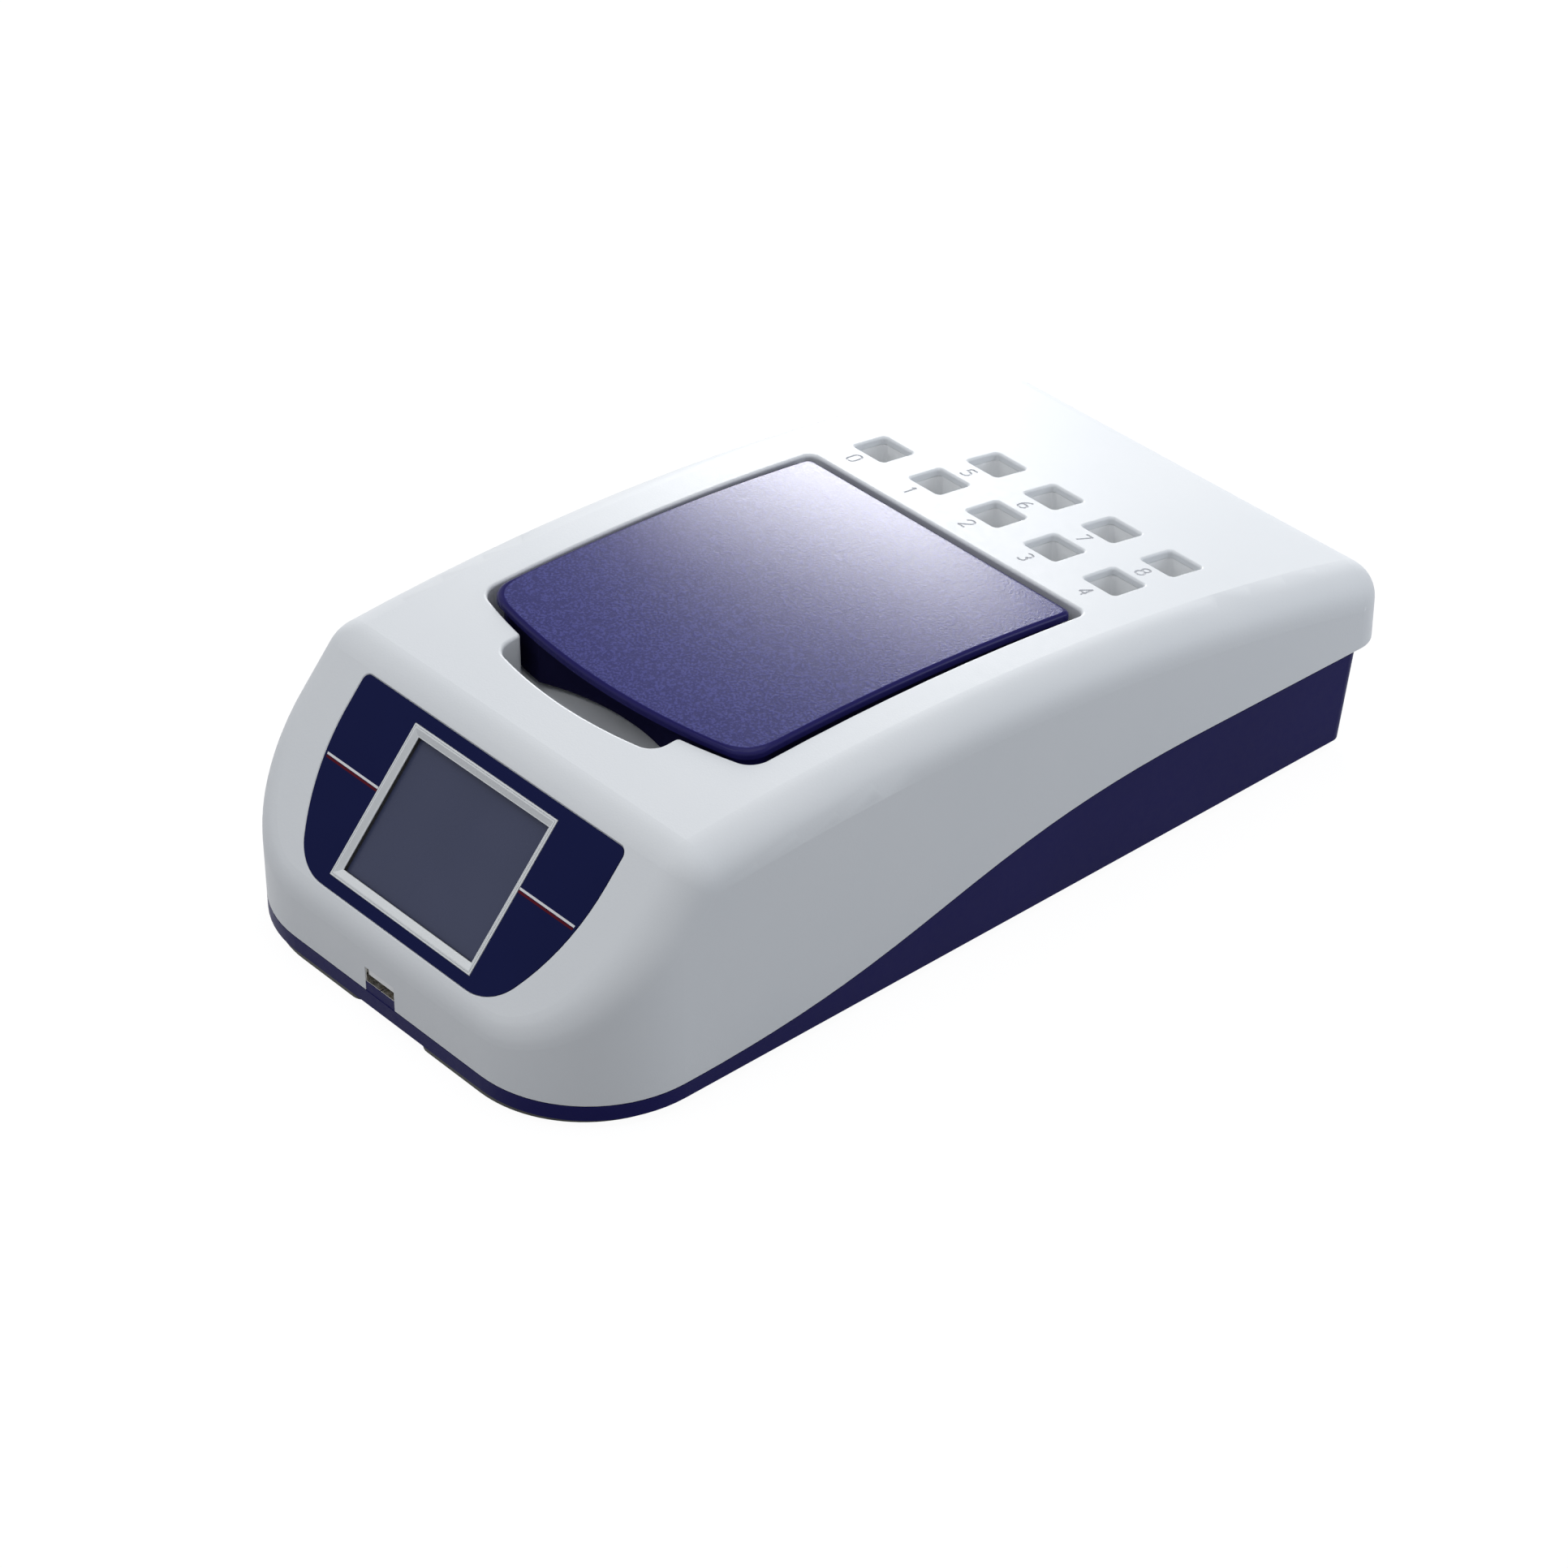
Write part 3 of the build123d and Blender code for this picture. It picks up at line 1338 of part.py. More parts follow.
def make_chamber():
    chamber = chamber_box(0, plate_top, chamber_top)
    chamber += chamber_box(chamber_flange, chamber_top - flange_thickness, chamber_top)
    chamber -= chamber_box(-chamber_wall, holder_bottom, chamber_top)
    chamber -= beam(-chamber_half_width, chamber_half_width, window_radius)
    gasket = chamber_box(chamber_flange, chamber_top, chamber_top + gasket_thickness)
    gasket -= chamber_box(0, chamber_top, chamber_top + gasket_thickness)
    seat = chamber_top - flange_thickness
    for x, y in chamber_screw_points():
        chamber -= upright(x, y, seat, chamber_top, small_screw_radius)
        gasket -= upright(x, y, chamber_top, chamber_top + gasket_thickness, small_screw_radius)
    screws = [small_screw(x, y, seat, deck_height - deck_skin, point_down=False)
              for x, y in chamber_screw_points()]
    windows = [
        beam(side * (chamber_half_width - chamber_wall), side * chamber_half_width, window_radius)
        for side in (-1, 1)
    ]
    half = holder_size / 2
    holder = block(around(0, half), around(beam_y, half), (holder_bottom, holder_top))
    holder = chamfer(holder.edges().filter_by(Axis.Z), holder_chamfer)
    floor = holder_bottom + cuvette_floor
    holder -= block(around(0, well_half), around(beam_y, well_half), (floor, REACH))
    holder -= beam(-half, half, beam_hole_radius)
    slot_z = (floor + spring_rise, holder_top)
    slot_y = (beam_y + well_half, beam_y + well_half + spring_slot_depth)
    holder -= block(around(0, spring_slot_half_width), slot_y, slot_z)
    spring = block(around(0, spring_half_width), (slot_y[1] - spring_thickness, slot_y[1]), slot_z)
    spring += spring_bow(slot_y, slot_z, 0) - spring_bow(slot_y, slot_z, spring_thickness)
    return {
        "sample_chamber": chamber,
        "chamber_gasket": gasket,
        "chamber_screws": screws,
        "chamber_windows": windows,
        "cuvette_holder": holder,
        "cuvette_spring": spring,
    }


# Lamp side

def lamp_screw_y():
    return beam_y - shield_depth / 2 - bracket_screw_reach


def make_lamp():
    x = around(lamp_x, shield_width / 2)
    near_y = beam_y - shield_depth / 2
    far_y = beam_y + shield_depth / 2
    foot = block(x, (near_y - bracket_foot, near_y), (plate_top, plate_top + sheet))
    riser = block(x, (near_y - sheet, near_y), (plate_top, shelf_top))
    shelf = block(x, (near_y - sheet, far_y), (shelf_top - sheet, shelf_top))
    bracket = foot + riser + shelf
    bracket -= upright(lamp_x, lamp_screw_y(), 0, shelf_top, small_screw_radius)
    half = lamp_base_size / 2
    base = block(around(lamp_x, half), around(beam_y, half), (shelf_top, lamp_base_top))
    base = fillet(base.edges().filter_by(Axis.Z), lamp_base_radius)
    bulb_top = 2 * beam_height - lamp_base_top + bulb_headroom
    bulb = upright(lamp_x, beam_y, lamp_base_top, bulb_top, lamp_radius)
    bulb = fillet(bulb.edges().sort_by(Axis.Z)[-1], lamp_radius * 0.9)
    shield = block(x, (near_y, far_y), (shelf_top, shelf_top + shield_height))
    shield = fillet(shield.edges().filter_by(Axis.Z), shield_radius)
    inner = block(around(lamp_x, shield_width / 2 - shield_sheet),
                  around(beam_y, shield_depth / 2 - shield_sheet),
                  (shelf_top, shelf_top + shield_height - shield_sheet))
    inner = fillet(inner.edges().filter_by(Axis.Z), shield_radius - shield_sheet)
    shield -= inner
    shield -= beam(lamp_x, lens_x, lamp_radius)
    shield -= block(around(lamp_x, shield_cable_width / 2), (beam_y, far_y + OVERSHOOT),
                    (shelf_top, shelf_top + shield_cable_height))
    for i in range(shield_vent_count):
        y = beam_y + (i - (shield_vent_count - 1) / 2) * shield_vent_pitch
        shield -= block(around(lamp_x, shield_vent_length / 2), around(y, shield_vent_width / 2),
                        (lamp_base_top, REACH))
    half_mount = lens_mount_thickness / 2
    mount = block(around(lens_x, half_mount), around(beam_y, lens_radius + lens_mount_margin),
                  (plate_top, beam_height + lens_radius + lens_mount_margin))
    mount = fillet(mount.edges().filter_by(Axis.X).sort_by(Axis.Z)[-2:], lens_mount_radius)
    seat_x = lens_x + half_mount - lens_retainer
    mount -= beam(lens_x - half_mount, lens_x + half_mount, lens_radius - lens_retainer)
    mount -= beam(lens_x - half_mount, seat_x, lens_radius)
    lens = beam(seat_x - lens_thickness, seat_x, lens_radius)
    ball_x = seat_x - lens_thickness + lens_bulge
    lens &= Pos(ball_x, beam_y, beam_height) * Sphere(lens_bulge)
    return {
        "lamp_bracket": bracket,
        "lamp_base": base,
        "lamp_bulb": bulb,
        "lamp_shield": shield,
        "lens_mount": mount,
        "condenser_lens": lens,
    }


# Spectrometer side

def spectrometer_screw_points():
    inset = spectrometer_wall / 2 + spectrometer_screw_margin
    xs = (spectrometer_left_x + inset, spectrometer_right_x - inset)
    ys = (spectrometer_front_y + inset, spectrometer_rear_y - inset)
    return [(x, y) for x in xs for y in ys]


def make_spectrometer():
    x = (spectrometer_left_x, spectrometer_right_x)
    y = (spectrometer_front_y, spectrometer_rear_y)
    inner_x = (x[0] + spectrometer_wall, x[1] - spectrometer_wall)
    inner_y = (y[0] + spectrometer_wall, y[1] - spectrometer_wall)
    floor = plate_top + spectrometer_wall
    housing = block(x, y, (plate_top, spectrometer_top))
    housing = fillet(housing.edges().filter_by(Axis.Z), spectrometer_corner_radius)
    housing -= block(inner_x, inner_y, (floor, spectrometer_top))
    pilot_bottom = spectrometer_top - cover_screw_bite - pilot_spare
    for point_x, point_y in spectrometer_screw_points():
        boss = upright(point_x, point_y, floor, spectrometer_top, standoff_radius)
        housing += boss & block(x, y, (floor, spectrometer_top))
        housing -= upright(point_x, point_y, pilot_bottom, REACH, small_screw_radius)
    slit_end = x[0] + slit_thickness
    housing -= beam(x[0], inner_x[0], slit_radius - slit_seat)
    housing -= beam(x[0], slit_end, slit_radius)
    slit = beam(x[0], slit_end, slit_radius)
    slit -= block((x[0], slit_end), around(beam_y, slit_width / 2),
                  around(beam_height, slit_height / 2))
    top = block(x, y, (spectrometer_top, spectrometer_top + spectrometer_lid))
    top = fillet(top.edges().filter_by(Axis.Z), spectrometer_corner_radius)
    for point_x, point_y in spectrometer_screw_points():
        top -= upright(point_x, point_y, 0, REACH, small_screw_radius + screw_hole_gap)
    stand = Pos(grating_x, beam_y, 0) * Rot(0, 0, grating_tilt)
    half = grating_size / 2
    grating = block((-grating_thickness, 0), around(0, half), around(beam_height, half))
    hollow_radius = 3 * grating_size
    hollow_x = grating_hollow_depth - grating_thickness - hollow_radius
    grating -= Pos(hollow_x, 0, beam_height) * Sphere(hollow_radius)
    rim = grating_mount_rim
    mount = block((0, grating_mount_thickness), around(0, half + rim),
                  (floor, beam_height + half + rim))
    mount += block((-grating_mount_foot, grating_mount_thickness), around(0, half),
                   (floor, floor + grating_mount_foot_height))
    detector_x = inner_x[0] + board_thickness
    board = block((inner_x[0], detector_x), around(detector_y, detector_board_half_length),
                  around(beam_height, detector_board_half_height))
    array_end = detector_x + detector_depth
    array = block((detector_x, array_end), around(detector_y, detector_half_length),
                  around(beam_height, detector_half_height))
    array -= block((array_end - detector_window_depth, array_end),
                   around(detector_y, detector_half_length - detector_window_inset),
                   around(beam_height, detector_half_height - detector_window_margin))
    return {
        "spectrometer_housing": housing,
        "spectrometer_cover": top,
        "entrance_slit": slit,
        "diffraction_grating": stand * grating,
        "grating_mount": stand * mount,
        "detector_board": board,
        "detector_array": array,
    }


def make_optics_plate():
    plate = block(around(0, plate_half_width), (plate_front_y, plate_rear_y),
                  (plate_height, plate_top))
    plate = fillet(plate.edges().filter_by(Axis.Z), plate_corner_radius)
    for x, y in plate_holes():
        plate -= upright(x, y, 0, plate_top, small_screw_radius + screw_hole_gap)
    plate -= block(around(lamp_x, shield_width / 2 - lamp_window_margin),
                   around(beam_y + sheet, shield_depth / 2 - lamp_window_margin), (0, plate_top))
    plate -= upright(lamp_x, lamp_screw_y(), 0, plate_top, small_screw_radius)
    screws = [small_screw(x, y, plate_top, floor_top + plate_screw_tip) for x, y in plate_holes()]
    screws.append(small_screw(lamp_x, lamp_screw_y(), plate_top + sheet,
                              plate_height - bracket_screw_bite))
    cover_seat = spectrometer_top + spectrometer_lid
    for x, y in spectrometer_screw_points():
        screws.append(small_screw(x, y, cover_seat, spectrometer_top - cover_screw_bite))
    return {"optics_plate": plate, "optics_screws": screws}


# Boards, sockets and wires

def part_on(x, y, half_x, half_y, board, height):
    """A box-shaped part soldered on a board."""
    return block(around(x, half_x), around(y, half_y), (board, board + height))


def make_boards():
    main = block(around(0, main_board_half_width), (main_board_front_y, main_board_rear_y),
                 (main_board_height, main_top))
    rear = block((rear_board_left_x, rear_board_right_x), (rear_board_front_y, rear_board_rear_y),
                 (rear_board_height, board_top))
    for x, y in main_board_holes():
        main -= upright(x, y, 0, REACH, small_screw_radius)
    for x, y in rear_board_holes():
        rear -= upright(x, y, 0, REACH, small_screw_radius)
    middle_y = (main_board_front_y + main_board_rear_y) / 2
    connector_y = rear_board_front_y + connector_inset
    plug_half = connector_depth / 2
    pieces = [
        part_on(-10, middle_y, 9, 9, main_top, 1.6),
        part_on(20, middle_y - 4, 6, 8, main_top, 1.2),
        part_on(36, middle_y + 12, 4, 6, main_top, 1.2),
        part_on(ribbon_x, ribbon_y, ribbon_width / 2 + 2, 2.5, main_top, ribbon_plug_height),
        part_on(leads_x, main_board_rear_y - connector_inset, 7, plug_half, main_top,
                connector_height),
        upright(-36, middle_y - 8, main_top, main_top + 3.2, 8.0),
        upright(44, middle_y - 12, main_top, main_top + 9, 4.0),
        part_on(rear_leads_x, connector_y, 7, plug_half, board_top, connector_height),
        part_on(lamp_leads_x, connector_y, 5, plug_half, board_top, connector_height),
        part_on(rear_board_right_x - plug_half, switch_leads_y, plug_half, 6, board_top,
                connector_height),
        upright(-10, rear_board_front_y + 12, board_top, board_top + 14, 6.0),
        part_on(6, rear_board_front_y + 28, 6, 6, board_top, 9),
    ]
    tip = floor_top + board_screw_tip
    screws = [small_screw(x, y, main_top, tip) for x, y in main_board_holes()]
    screws += [small_screw(x, y, board_top, tip) for x, y in rear_board_holes()]
    screws += [small_screw(x, y, usb_floor, floor_top + usb_screw_tip)
               for x, y in usb_board_holes()]
    for across, up in display_board_holes():
        panel_screw = small_screw(0, 0, -display_back - board_thickness, -wall - pilot_spare,
                                  point_down=False)
        screws.append(on_panel(panel_screw, up, 0, across))
    return {
        "main_board": main,
        "rear_board": rear,
        "board_components": pieces,
        "board_screws": screws,
    }


def make_ribbon():
    """The flat cable from the back of the display board down to its plug on the main board."""
    start = panel_plane.from_local_coords(
        Vector(0, frame_middle + ribbon_rise, -display_back - board_thickness))
    out = start - panel_plane.z_dir * ribbon_reach
    points = [
        (start.Y, start.Z),
        (out.Y, out.Z),
        (ribbon_y, out.Z - ribbon_drop),
        (ribbon_y, main_top + ribbon_plug_height),
    ]
    path = FilletPolyline(*points, radius=ribbon_bend)
    strip = Plane.YZ * trace([path], ribbon_thickness)
    ribbon = Pos(ribbon_x, 0, 0) * extrude(strip, ribbon_width / 2, both=True)
    return {"ribbon_cable": ribbon}


def wire(points, bend):
    path = FilletPolyline(*points, radius=bend)
    section = Plane(origin=path @ 0, z_dir=path % 0) * Circle(wire_radius)
    return sweep(section, path=path)


def make_wires():
    """Pairs of wires: rear board to main board, rear board to lamp, and switch to rear board."""
    low = floor_top + wire_lift
    rise_y = (main_board_rear_y + plate_front_y) / 2
    front_z = main_top + wire_height
    rear_z = board_top + wire_height
    lamp_z = shelf_top + wire_height
    plug_half = connector_depth / 2
    rear_plug_y = rear_board_front_y + connector_inset - plug_half
    tab = rear_plane.from_local_coords(Vector(-switch_x, switch_rise, -switch_depth))
    tab_y = tab.Y - wire_end_gap
    turn_x = (tab.X + rear_board_right_x) / 2
    power = []
    lamp = []
    for side in (-1, 1):
        step = side * wire_spacing / 2
        power.append(wire([
            (rear_leads_x + step, rear_plug_y, rear_z),
            (rear_leads_x + step, rear_plug_y - wire_run, rear_z),
            (rear_leads_x + step, rear_plug_y - 2 * wire_run, low),
            (leads_x + step, plate_rear_y - wire_run, low),
            (leads_x + step, rise_y, low),
            (leads_x + step, rise_y, front_z),
            (leads_x + step, main_board_rear_y - connector_inset + plug_half, front_z),
        ], wire_bend))
        lamp.append(wire([
            (lamp_x + step, beam_y + lamp_base_size / 2, lamp_z),
            (lamp_x + step, plate_rear_y - 2 * wire_run, lamp_z),
            (lamp_leads_x + step, plate_rear_y + 2 * wire_run, rear_z),
            (lamp_leads_x + step, rear_plug_y, rear_z),
        ], lamp_wire_bend))
        power.append(wire([
            (tab.X + step, tab_y, tab.Z),
            (tab.X + step, switch_leads_y + step, tab.Z),
            (turn_x, switch_leads_y + step, rear_z),
            (rear_board_right_x, switch_leads_y + step, rear_z),
        ], switch_wire_bend))
    return {"power_leads": power, "lamp_leads": lamp}


def make_front_usb():
    x = around(usb_x, usb_width / 2)
    y = (front_y + usb_recess, front_y + usb_recess + usb_length)
    z = (usb_floor, usb_floor + usb_height)
    shell = block(x, y, z)
    shell = fillet(shell.edges().filter_by(Axis.Y), usb_corner_radius)
    shell -= block(around(usb_x, usb_width / 2 - usb_wall), (y[0], y[1] - usb_wall),
                   (z[0] + usb_wall, z[1] - usb_wall))
    shell -= block(around(usb_x, usb_seam_width / 2), (y[0], y[0] + usb_seam_length),
                   (z[0], z[0] + usb_wall))
    tongue_top = z[1] - usb_wall - usb_tongue_top_gap
    tongue = block(around(usb_x, usb_width / 2 - usb_wall - usb_tongue_side_gap),
                   (y[0] + usb_tongue_recess, y[1] - usb_wall),
                   (tongue_top - usb_tongue_thickness, tongue_top))
    tongue += block(around(usb_x, usb_width / 2 - usb_wall),
                    (y[1] - usb_back_length, y[1] - usb_wall), (z[0] + usb_wall, z[1] - usb_wall))
    board = block(around(usb_x, usb_board_half_width),
                  (y[0] + usb_board_start, y[1] + usb_board_overhang),
                  (usb_board_height, usb_floor))
    for hole_x, hole_y in usb_board_holes():
        board -= upright(hole_x, hole_y, 0, REACH, small_screw_radius)
    return {"front_usb_shell": shell, "front_usb_tongue": tongue, "front_usb_board": board}


def make_rear_ports():
    jack_front_y = rear_board_rear_y - jack_length
    jack = block(around(jack_x, jack_width / 2),
                 (jack_front_y, rear_wall_y(board_top, wall) - jack_wall_gap),
                 (board_top, board_top + jack_height))
    snout_end = rear_wall_y(jack_centre_height) - port_recess
    bore_end = snout_end - jack_depth
    jack += rod((jack_x, jack_front_y, jack_centre_height),
                (jack_x, snout_end, jack_centre_height), jack_radius)
    jack -= rod((jack_x, bore_end, jack_centre_height),
                (jack_x, snout_end, jack_centre_height), jack_radius - jack_wall)
    jack += rod((jack_x, bore_end, jack_centre_height),
                (jack_x, snout_end - jack_pin_recess, jack_centre_height), jack_pin_radius)
    end = rear_wall_y(board_top) - port_recess
    start = end - data_length
    z = (board_top, board_top + data_height)
    shell = block(around(data_x, data_width / 2), (start, end), z)
    shell = chamfer(shell.edges().filter_by(Axis.Y).sort_by(Axis.Z)[-2:], data_chamfer)
    core = block(around(data_x, data_width / 2 - data_wall), (start + data_wall, end),
                 (z[0] + data_wall, z[1] - data_wall))
    core = chamfer(core.edges().filter_by(Axis.Y).sort_by(Axis.Z)[-2:], data_chamfer)
    shell -= core
    back_end = start + data_wall + data_back_length
    tongue = block(around(data_x, data_tongue_width / 2),
                   (start + data_wall, end - data_tongue_recess),
                   around((z[0] + z[1]) / 2, data_tongue_height / 2))
    tongue += block(around(data_x, data_width / 2), (start, back_end), z) & core
    return {"power_jack": jack, "rear_usb_shell": shell, "rear_usb_tongue": tongue}


def make_switch():
    place = rear_plane * Pos(-switch_x, switch_rise, 0)
    body = Pos(0, 0, -switch_depth / 2) * Box(switch_width, switch_length, switch_depth)
    flange = Pos(0, 0, switch_flange / 2) * Box(switch_width + 2 * switch_flange_margin,
                                                switch_length + 2 * switch_flange_margin,
                                                switch_flange)
    body += fillet(flange.edges().filter_by(Axis.Z), switch_flange_radius)
    body -= Box(2 * (rocker_half_width + rocker_side_gap),
                2 * (rocker_half_length + rocker_end_gap), 2 * switch_well_depth)
    axle = Pos(0, 0, rocker_pivot) * Rot(0, 90, 0)
    body -= axle * Cylinder(rocker_pin_radius + hinge_running_gap, REACH)
    heel = rocker_half_length * 0.9
    profile = make_face(Polyline(
        (-rocker_half_length, rocker_rise), (0, rocker_rise - rocker_dip),
        (rocker_half_length, rocker_rise), (heel, -rocker_heel_depth),
        (rocker_root_half_length, -rocker_root_depth),
        (-rocker_root_half_length, -rocker_root_depth), (-heel, -rocker_heel_depth), close=True))
    rocker = extrude(Plane.YZ * profile, rocker_half_width, both=True)
    top_edges = rocker.edges().filter_by(Axis.X).sort_by(Axis.Z)[-3:]
    rocker = fillet(top_edges, rocker_edge_radius)
    rocker += axle * Cylinder(rocker_pin_radius, switch_width - 2 * rocker_pin_gap)
    turned = Pos(0, 0, rocker_pivot) * Rot(-rocker_angle, 0, 0) * Pos(0, 0, -rocker_pivot)
    return {
        "power_switch_body": place * body,
        "power_rocker": place * turned * rocker,
    }


def make_case_screws():
    return {
        "case_screws": [
            screw(x, y, case_head_seat, post_top + case_screw_bite, case_screw_radius,
                  case_screw_head_radius, case_screw_head, point_down=False)
            for x, y in case_screw_points()
        ]
    }


def main():
    nodes = {"top_cover": make_cover(), "base_tray": make_tray()}
    for make in (
        make_display, make_underside, make_lid, make_hinge, make_rack, make_chamber, make_lamp,
        make_spectrometer, make_optics_plate, make_boards, make_ribbon, make_wires,
        make_front_usb, make_rear_ports, make_switch, make_case_screws,
    ):
        nodes.update(make())
    os.makedirs("parts", exist_ok=True)
    for name, shape in nodes.items():
        pieces = shape if isinstance(shape, list) else [shape]
        solids = [solid for piece in pieces for solid in piece.solids()]
        export_step(Compound(solids), f"parts/{name}.step")
        print(name, len(solids), round(sum(solid.volume for solid in solids) / 1000, 3), "cm3")


main()
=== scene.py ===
import json
import math

import bmesh
import bpy
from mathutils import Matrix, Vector


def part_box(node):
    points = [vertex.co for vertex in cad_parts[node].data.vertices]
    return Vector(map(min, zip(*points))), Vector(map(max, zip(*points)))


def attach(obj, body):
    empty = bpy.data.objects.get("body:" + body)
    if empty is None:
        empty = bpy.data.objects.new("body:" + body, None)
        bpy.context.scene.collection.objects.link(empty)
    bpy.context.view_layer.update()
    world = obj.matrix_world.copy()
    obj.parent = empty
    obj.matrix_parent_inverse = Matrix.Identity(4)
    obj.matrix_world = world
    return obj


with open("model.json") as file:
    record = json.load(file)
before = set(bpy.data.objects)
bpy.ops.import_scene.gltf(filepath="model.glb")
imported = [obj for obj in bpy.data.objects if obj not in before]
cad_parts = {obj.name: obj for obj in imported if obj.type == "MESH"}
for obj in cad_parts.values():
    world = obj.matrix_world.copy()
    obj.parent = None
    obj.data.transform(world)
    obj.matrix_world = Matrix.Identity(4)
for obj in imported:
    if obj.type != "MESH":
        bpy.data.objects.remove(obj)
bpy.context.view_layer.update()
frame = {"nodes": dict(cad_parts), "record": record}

nodes = frame["nodes"]


# Sizes and places that the finishes and the small pieces share with the solids. Lengths are
# metres in the shared frame: X to the right, Y to the back, Z up.

# The cover's top is an arch round an axis along X. The digits are engraved in it in two rows.
crown_height = 0.081
crown_radius = 0.8
crown_y = -0.042
digit_rows_y = (0.06185, 0.08605)
digit_row_reach = 0.0035
digit_side_reach = 0.0535
grey_starts = 0.00012
grey_covers = 0.00028

# The lid's outline has straight sides, a straight rear and a front that is an arc.
lid_half_width = 0.0571
lid_rear_y = 0.04965
lid_front_centre_y = 0.1533
lid_front_radius = 0.235
lid_rear_rounding = 0.004
lid_front_rounding = 0.0145

# The front panel leans back from its foot. The overlay's sides are straight above
# overlay_arc_up, and below it they curve in.
panel_lean = math.radians(48.3)
panel_foot = Vector((0.0, -0.161, 0.026))
overlay_arc_radius = 0.0738
overlay_arc_across = -0.0162
overlay_arc_up = 0.0511
frame_half_width = 0.0316

# The stripes are print on the overlay, whose surface lies a little below the panel's.
stripe_bottom = -0.0001
stripe_top = -0.00006
stripe_width = 0.0007
white_stripe_up = 0.0370
red_stripe_up = 0.03614
stripe_frame_gap = 0.0002
stripe_edge_gap = 0.0009

# Contacts of the front socket
contact_count = 4
contact_pitch = 0.0023
contact_size = (0.0010, 0.0072, 0.00018)
contact_setback = 0.0042
contact_drop = 0.00226
contact_edge = 0.00005


# Node helpers. Noise scales count per metre of object coordinates.

class Surface:
    """A material with one Principled shader and short ways to add the nodes it needs."""

    def __init__(self, name):
        self.material = bpy.data.materials.new(name)
        self.material.use_nodes = True
        self.tree = self.material.node_tree
        self.tree.nodes.clear()
        output = self.tree.nodes.new("ShaderNodeOutputMaterial")
        self.shader = self.tree.nodes.new("ShaderNodeBsdfPrincipled")
        self.tree.links.new(self.shader.outputs[0], output.inputs[0])
        self.place = self.tree.nodes.new("ShaderNodeTexCoord").outputs["Object"]

    def feed(self, socket, value):
        if hasattr(value, "links"):
            self.tree.links.new(value, socket)
        else:
            socket.default_value = value

    def set(self, **values):
        """Shader sockets by name, with underscores for spaces."""
        for name, value in values.items():
            if isinstance(value, tuple):
                value = (*value, 1.0)
            self.feed(self.shader.inputs[name.replace("_", " ")], value)
        return self

    def math(self, operation, *values):
        node = self.tree.nodes.new("ShaderNodeMath")
        node.operation = operation
        for socket, value in zip(node.inputs, values):
            self.feed(socket, value)
        return node.outputs[0]

    def near(self, value, middle, reach):
        """1 within a reach of a middle, 0 outside."""
        return self.math("COMPARE", value, middle, reach)

    def stretch(self, x, y, z):
        node = self.tree.nodes.new("ShaderNodeMapping")
        node.inputs["Scale"].default_value = (x, y, z)
        self.tree.links.new(self.place, node.inputs["Vector"])
        return node.outputs[0]

    def noise(self, scale, detail=2.0, rough=0.5, where=None):
        node = self.tree.nodes.new("ShaderNodeTexNoise")
        node.inputs["Scale"].default_value = scale
        node.inputs["Detail"].default_value = detail
        node.inputs["Roughness"].default_value = rough
        self.tree.links.new(where or self.place, node.inputs["Vector"])
        return node.outputs["Fac"]

    def cells(self, scale):
        node = self.tree.nodes.new("ShaderNodeTexVoronoi")
        node.inputs["Scale"].default_value = scale
        self.tree.links.new(self.place, node.inputs["Vector"])
        return node.outputs["Distance"]

    def span(self, value, start, end, low=0.0, high=1.0):
        """Low where the value is at its start, high at its end, and held beyond both."""
        node = self.tree.nodes.new("ShaderNodeMapRange")
        for socket, number in zip(node.inputs[:5], (value, start, end, low, high)):
            self.feed(socket, number)
        return node.outputs[0]

    def blend(self, factor, a, b):
        node = self.tree.nodes.new("ShaderNodeMix")
        node.data_type = "RGBA"
        self.feed(node.inputs[0], factor)
        self.feed(node.inputs[6], (*a, 1.0) if isinstance(a, tuple) else a)
        self.feed(node.inputs[7], (*b, 1.0) if isinstance(b, tuple) else b)
        return node.outputs[2]

    def axes(self):
        node = self.tree.nodes.new("ShaderNodeSeparateXYZ")
        self.tree.links.new(self.place, node.inputs[0])
        return node.outputs

    def upward(self):
        """How far a face looks up along the object's own Z, from -1 to 1."""
        node = self.tree.nodes.new("ShaderNodeSeparateXYZ")
        way = self.tree.nodes.new("ShaderNodeTexCoord").outputs["Normal"]
        self.tree.links.new(way, node.inputs[0])
        return node.outputs[2]

    def edges(self, radius):
        """1 on outer and inner edges, 0 on flat faces."""
        bevel = self.tree.nodes.new("ShaderNodeBevel")
        bevel.samples = 4
        bevel.inputs["Radius"].default_value = radius
        flat = self.tree.nodes.new("ShaderNodeNewGeometry")
        dot = self.tree.nodes.new("ShaderNodeVectorMath")
        dot.operation = "DOT_PRODUCT"
        self.tree.links.new(bevel.outputs[0], dot.inputs[0])
        self.tree.links.new(flat.outputs["Normal"], dot.inputs[1])
        return self.span(dot.outputs["Value"], 0.99, 0.80)

    def bump(self, height, distance):
        node = self.tree.nodes.new("ShaderNodeBump")
        node.inputs["Distance"].default_value = distance
        node.inputs["Strength"].default_value = 1.0
        self.tree.links.new(height, node.inputs["Height"])
        self.tree.links.new(node.outputs[0], self.shader.inputs["Normal"])


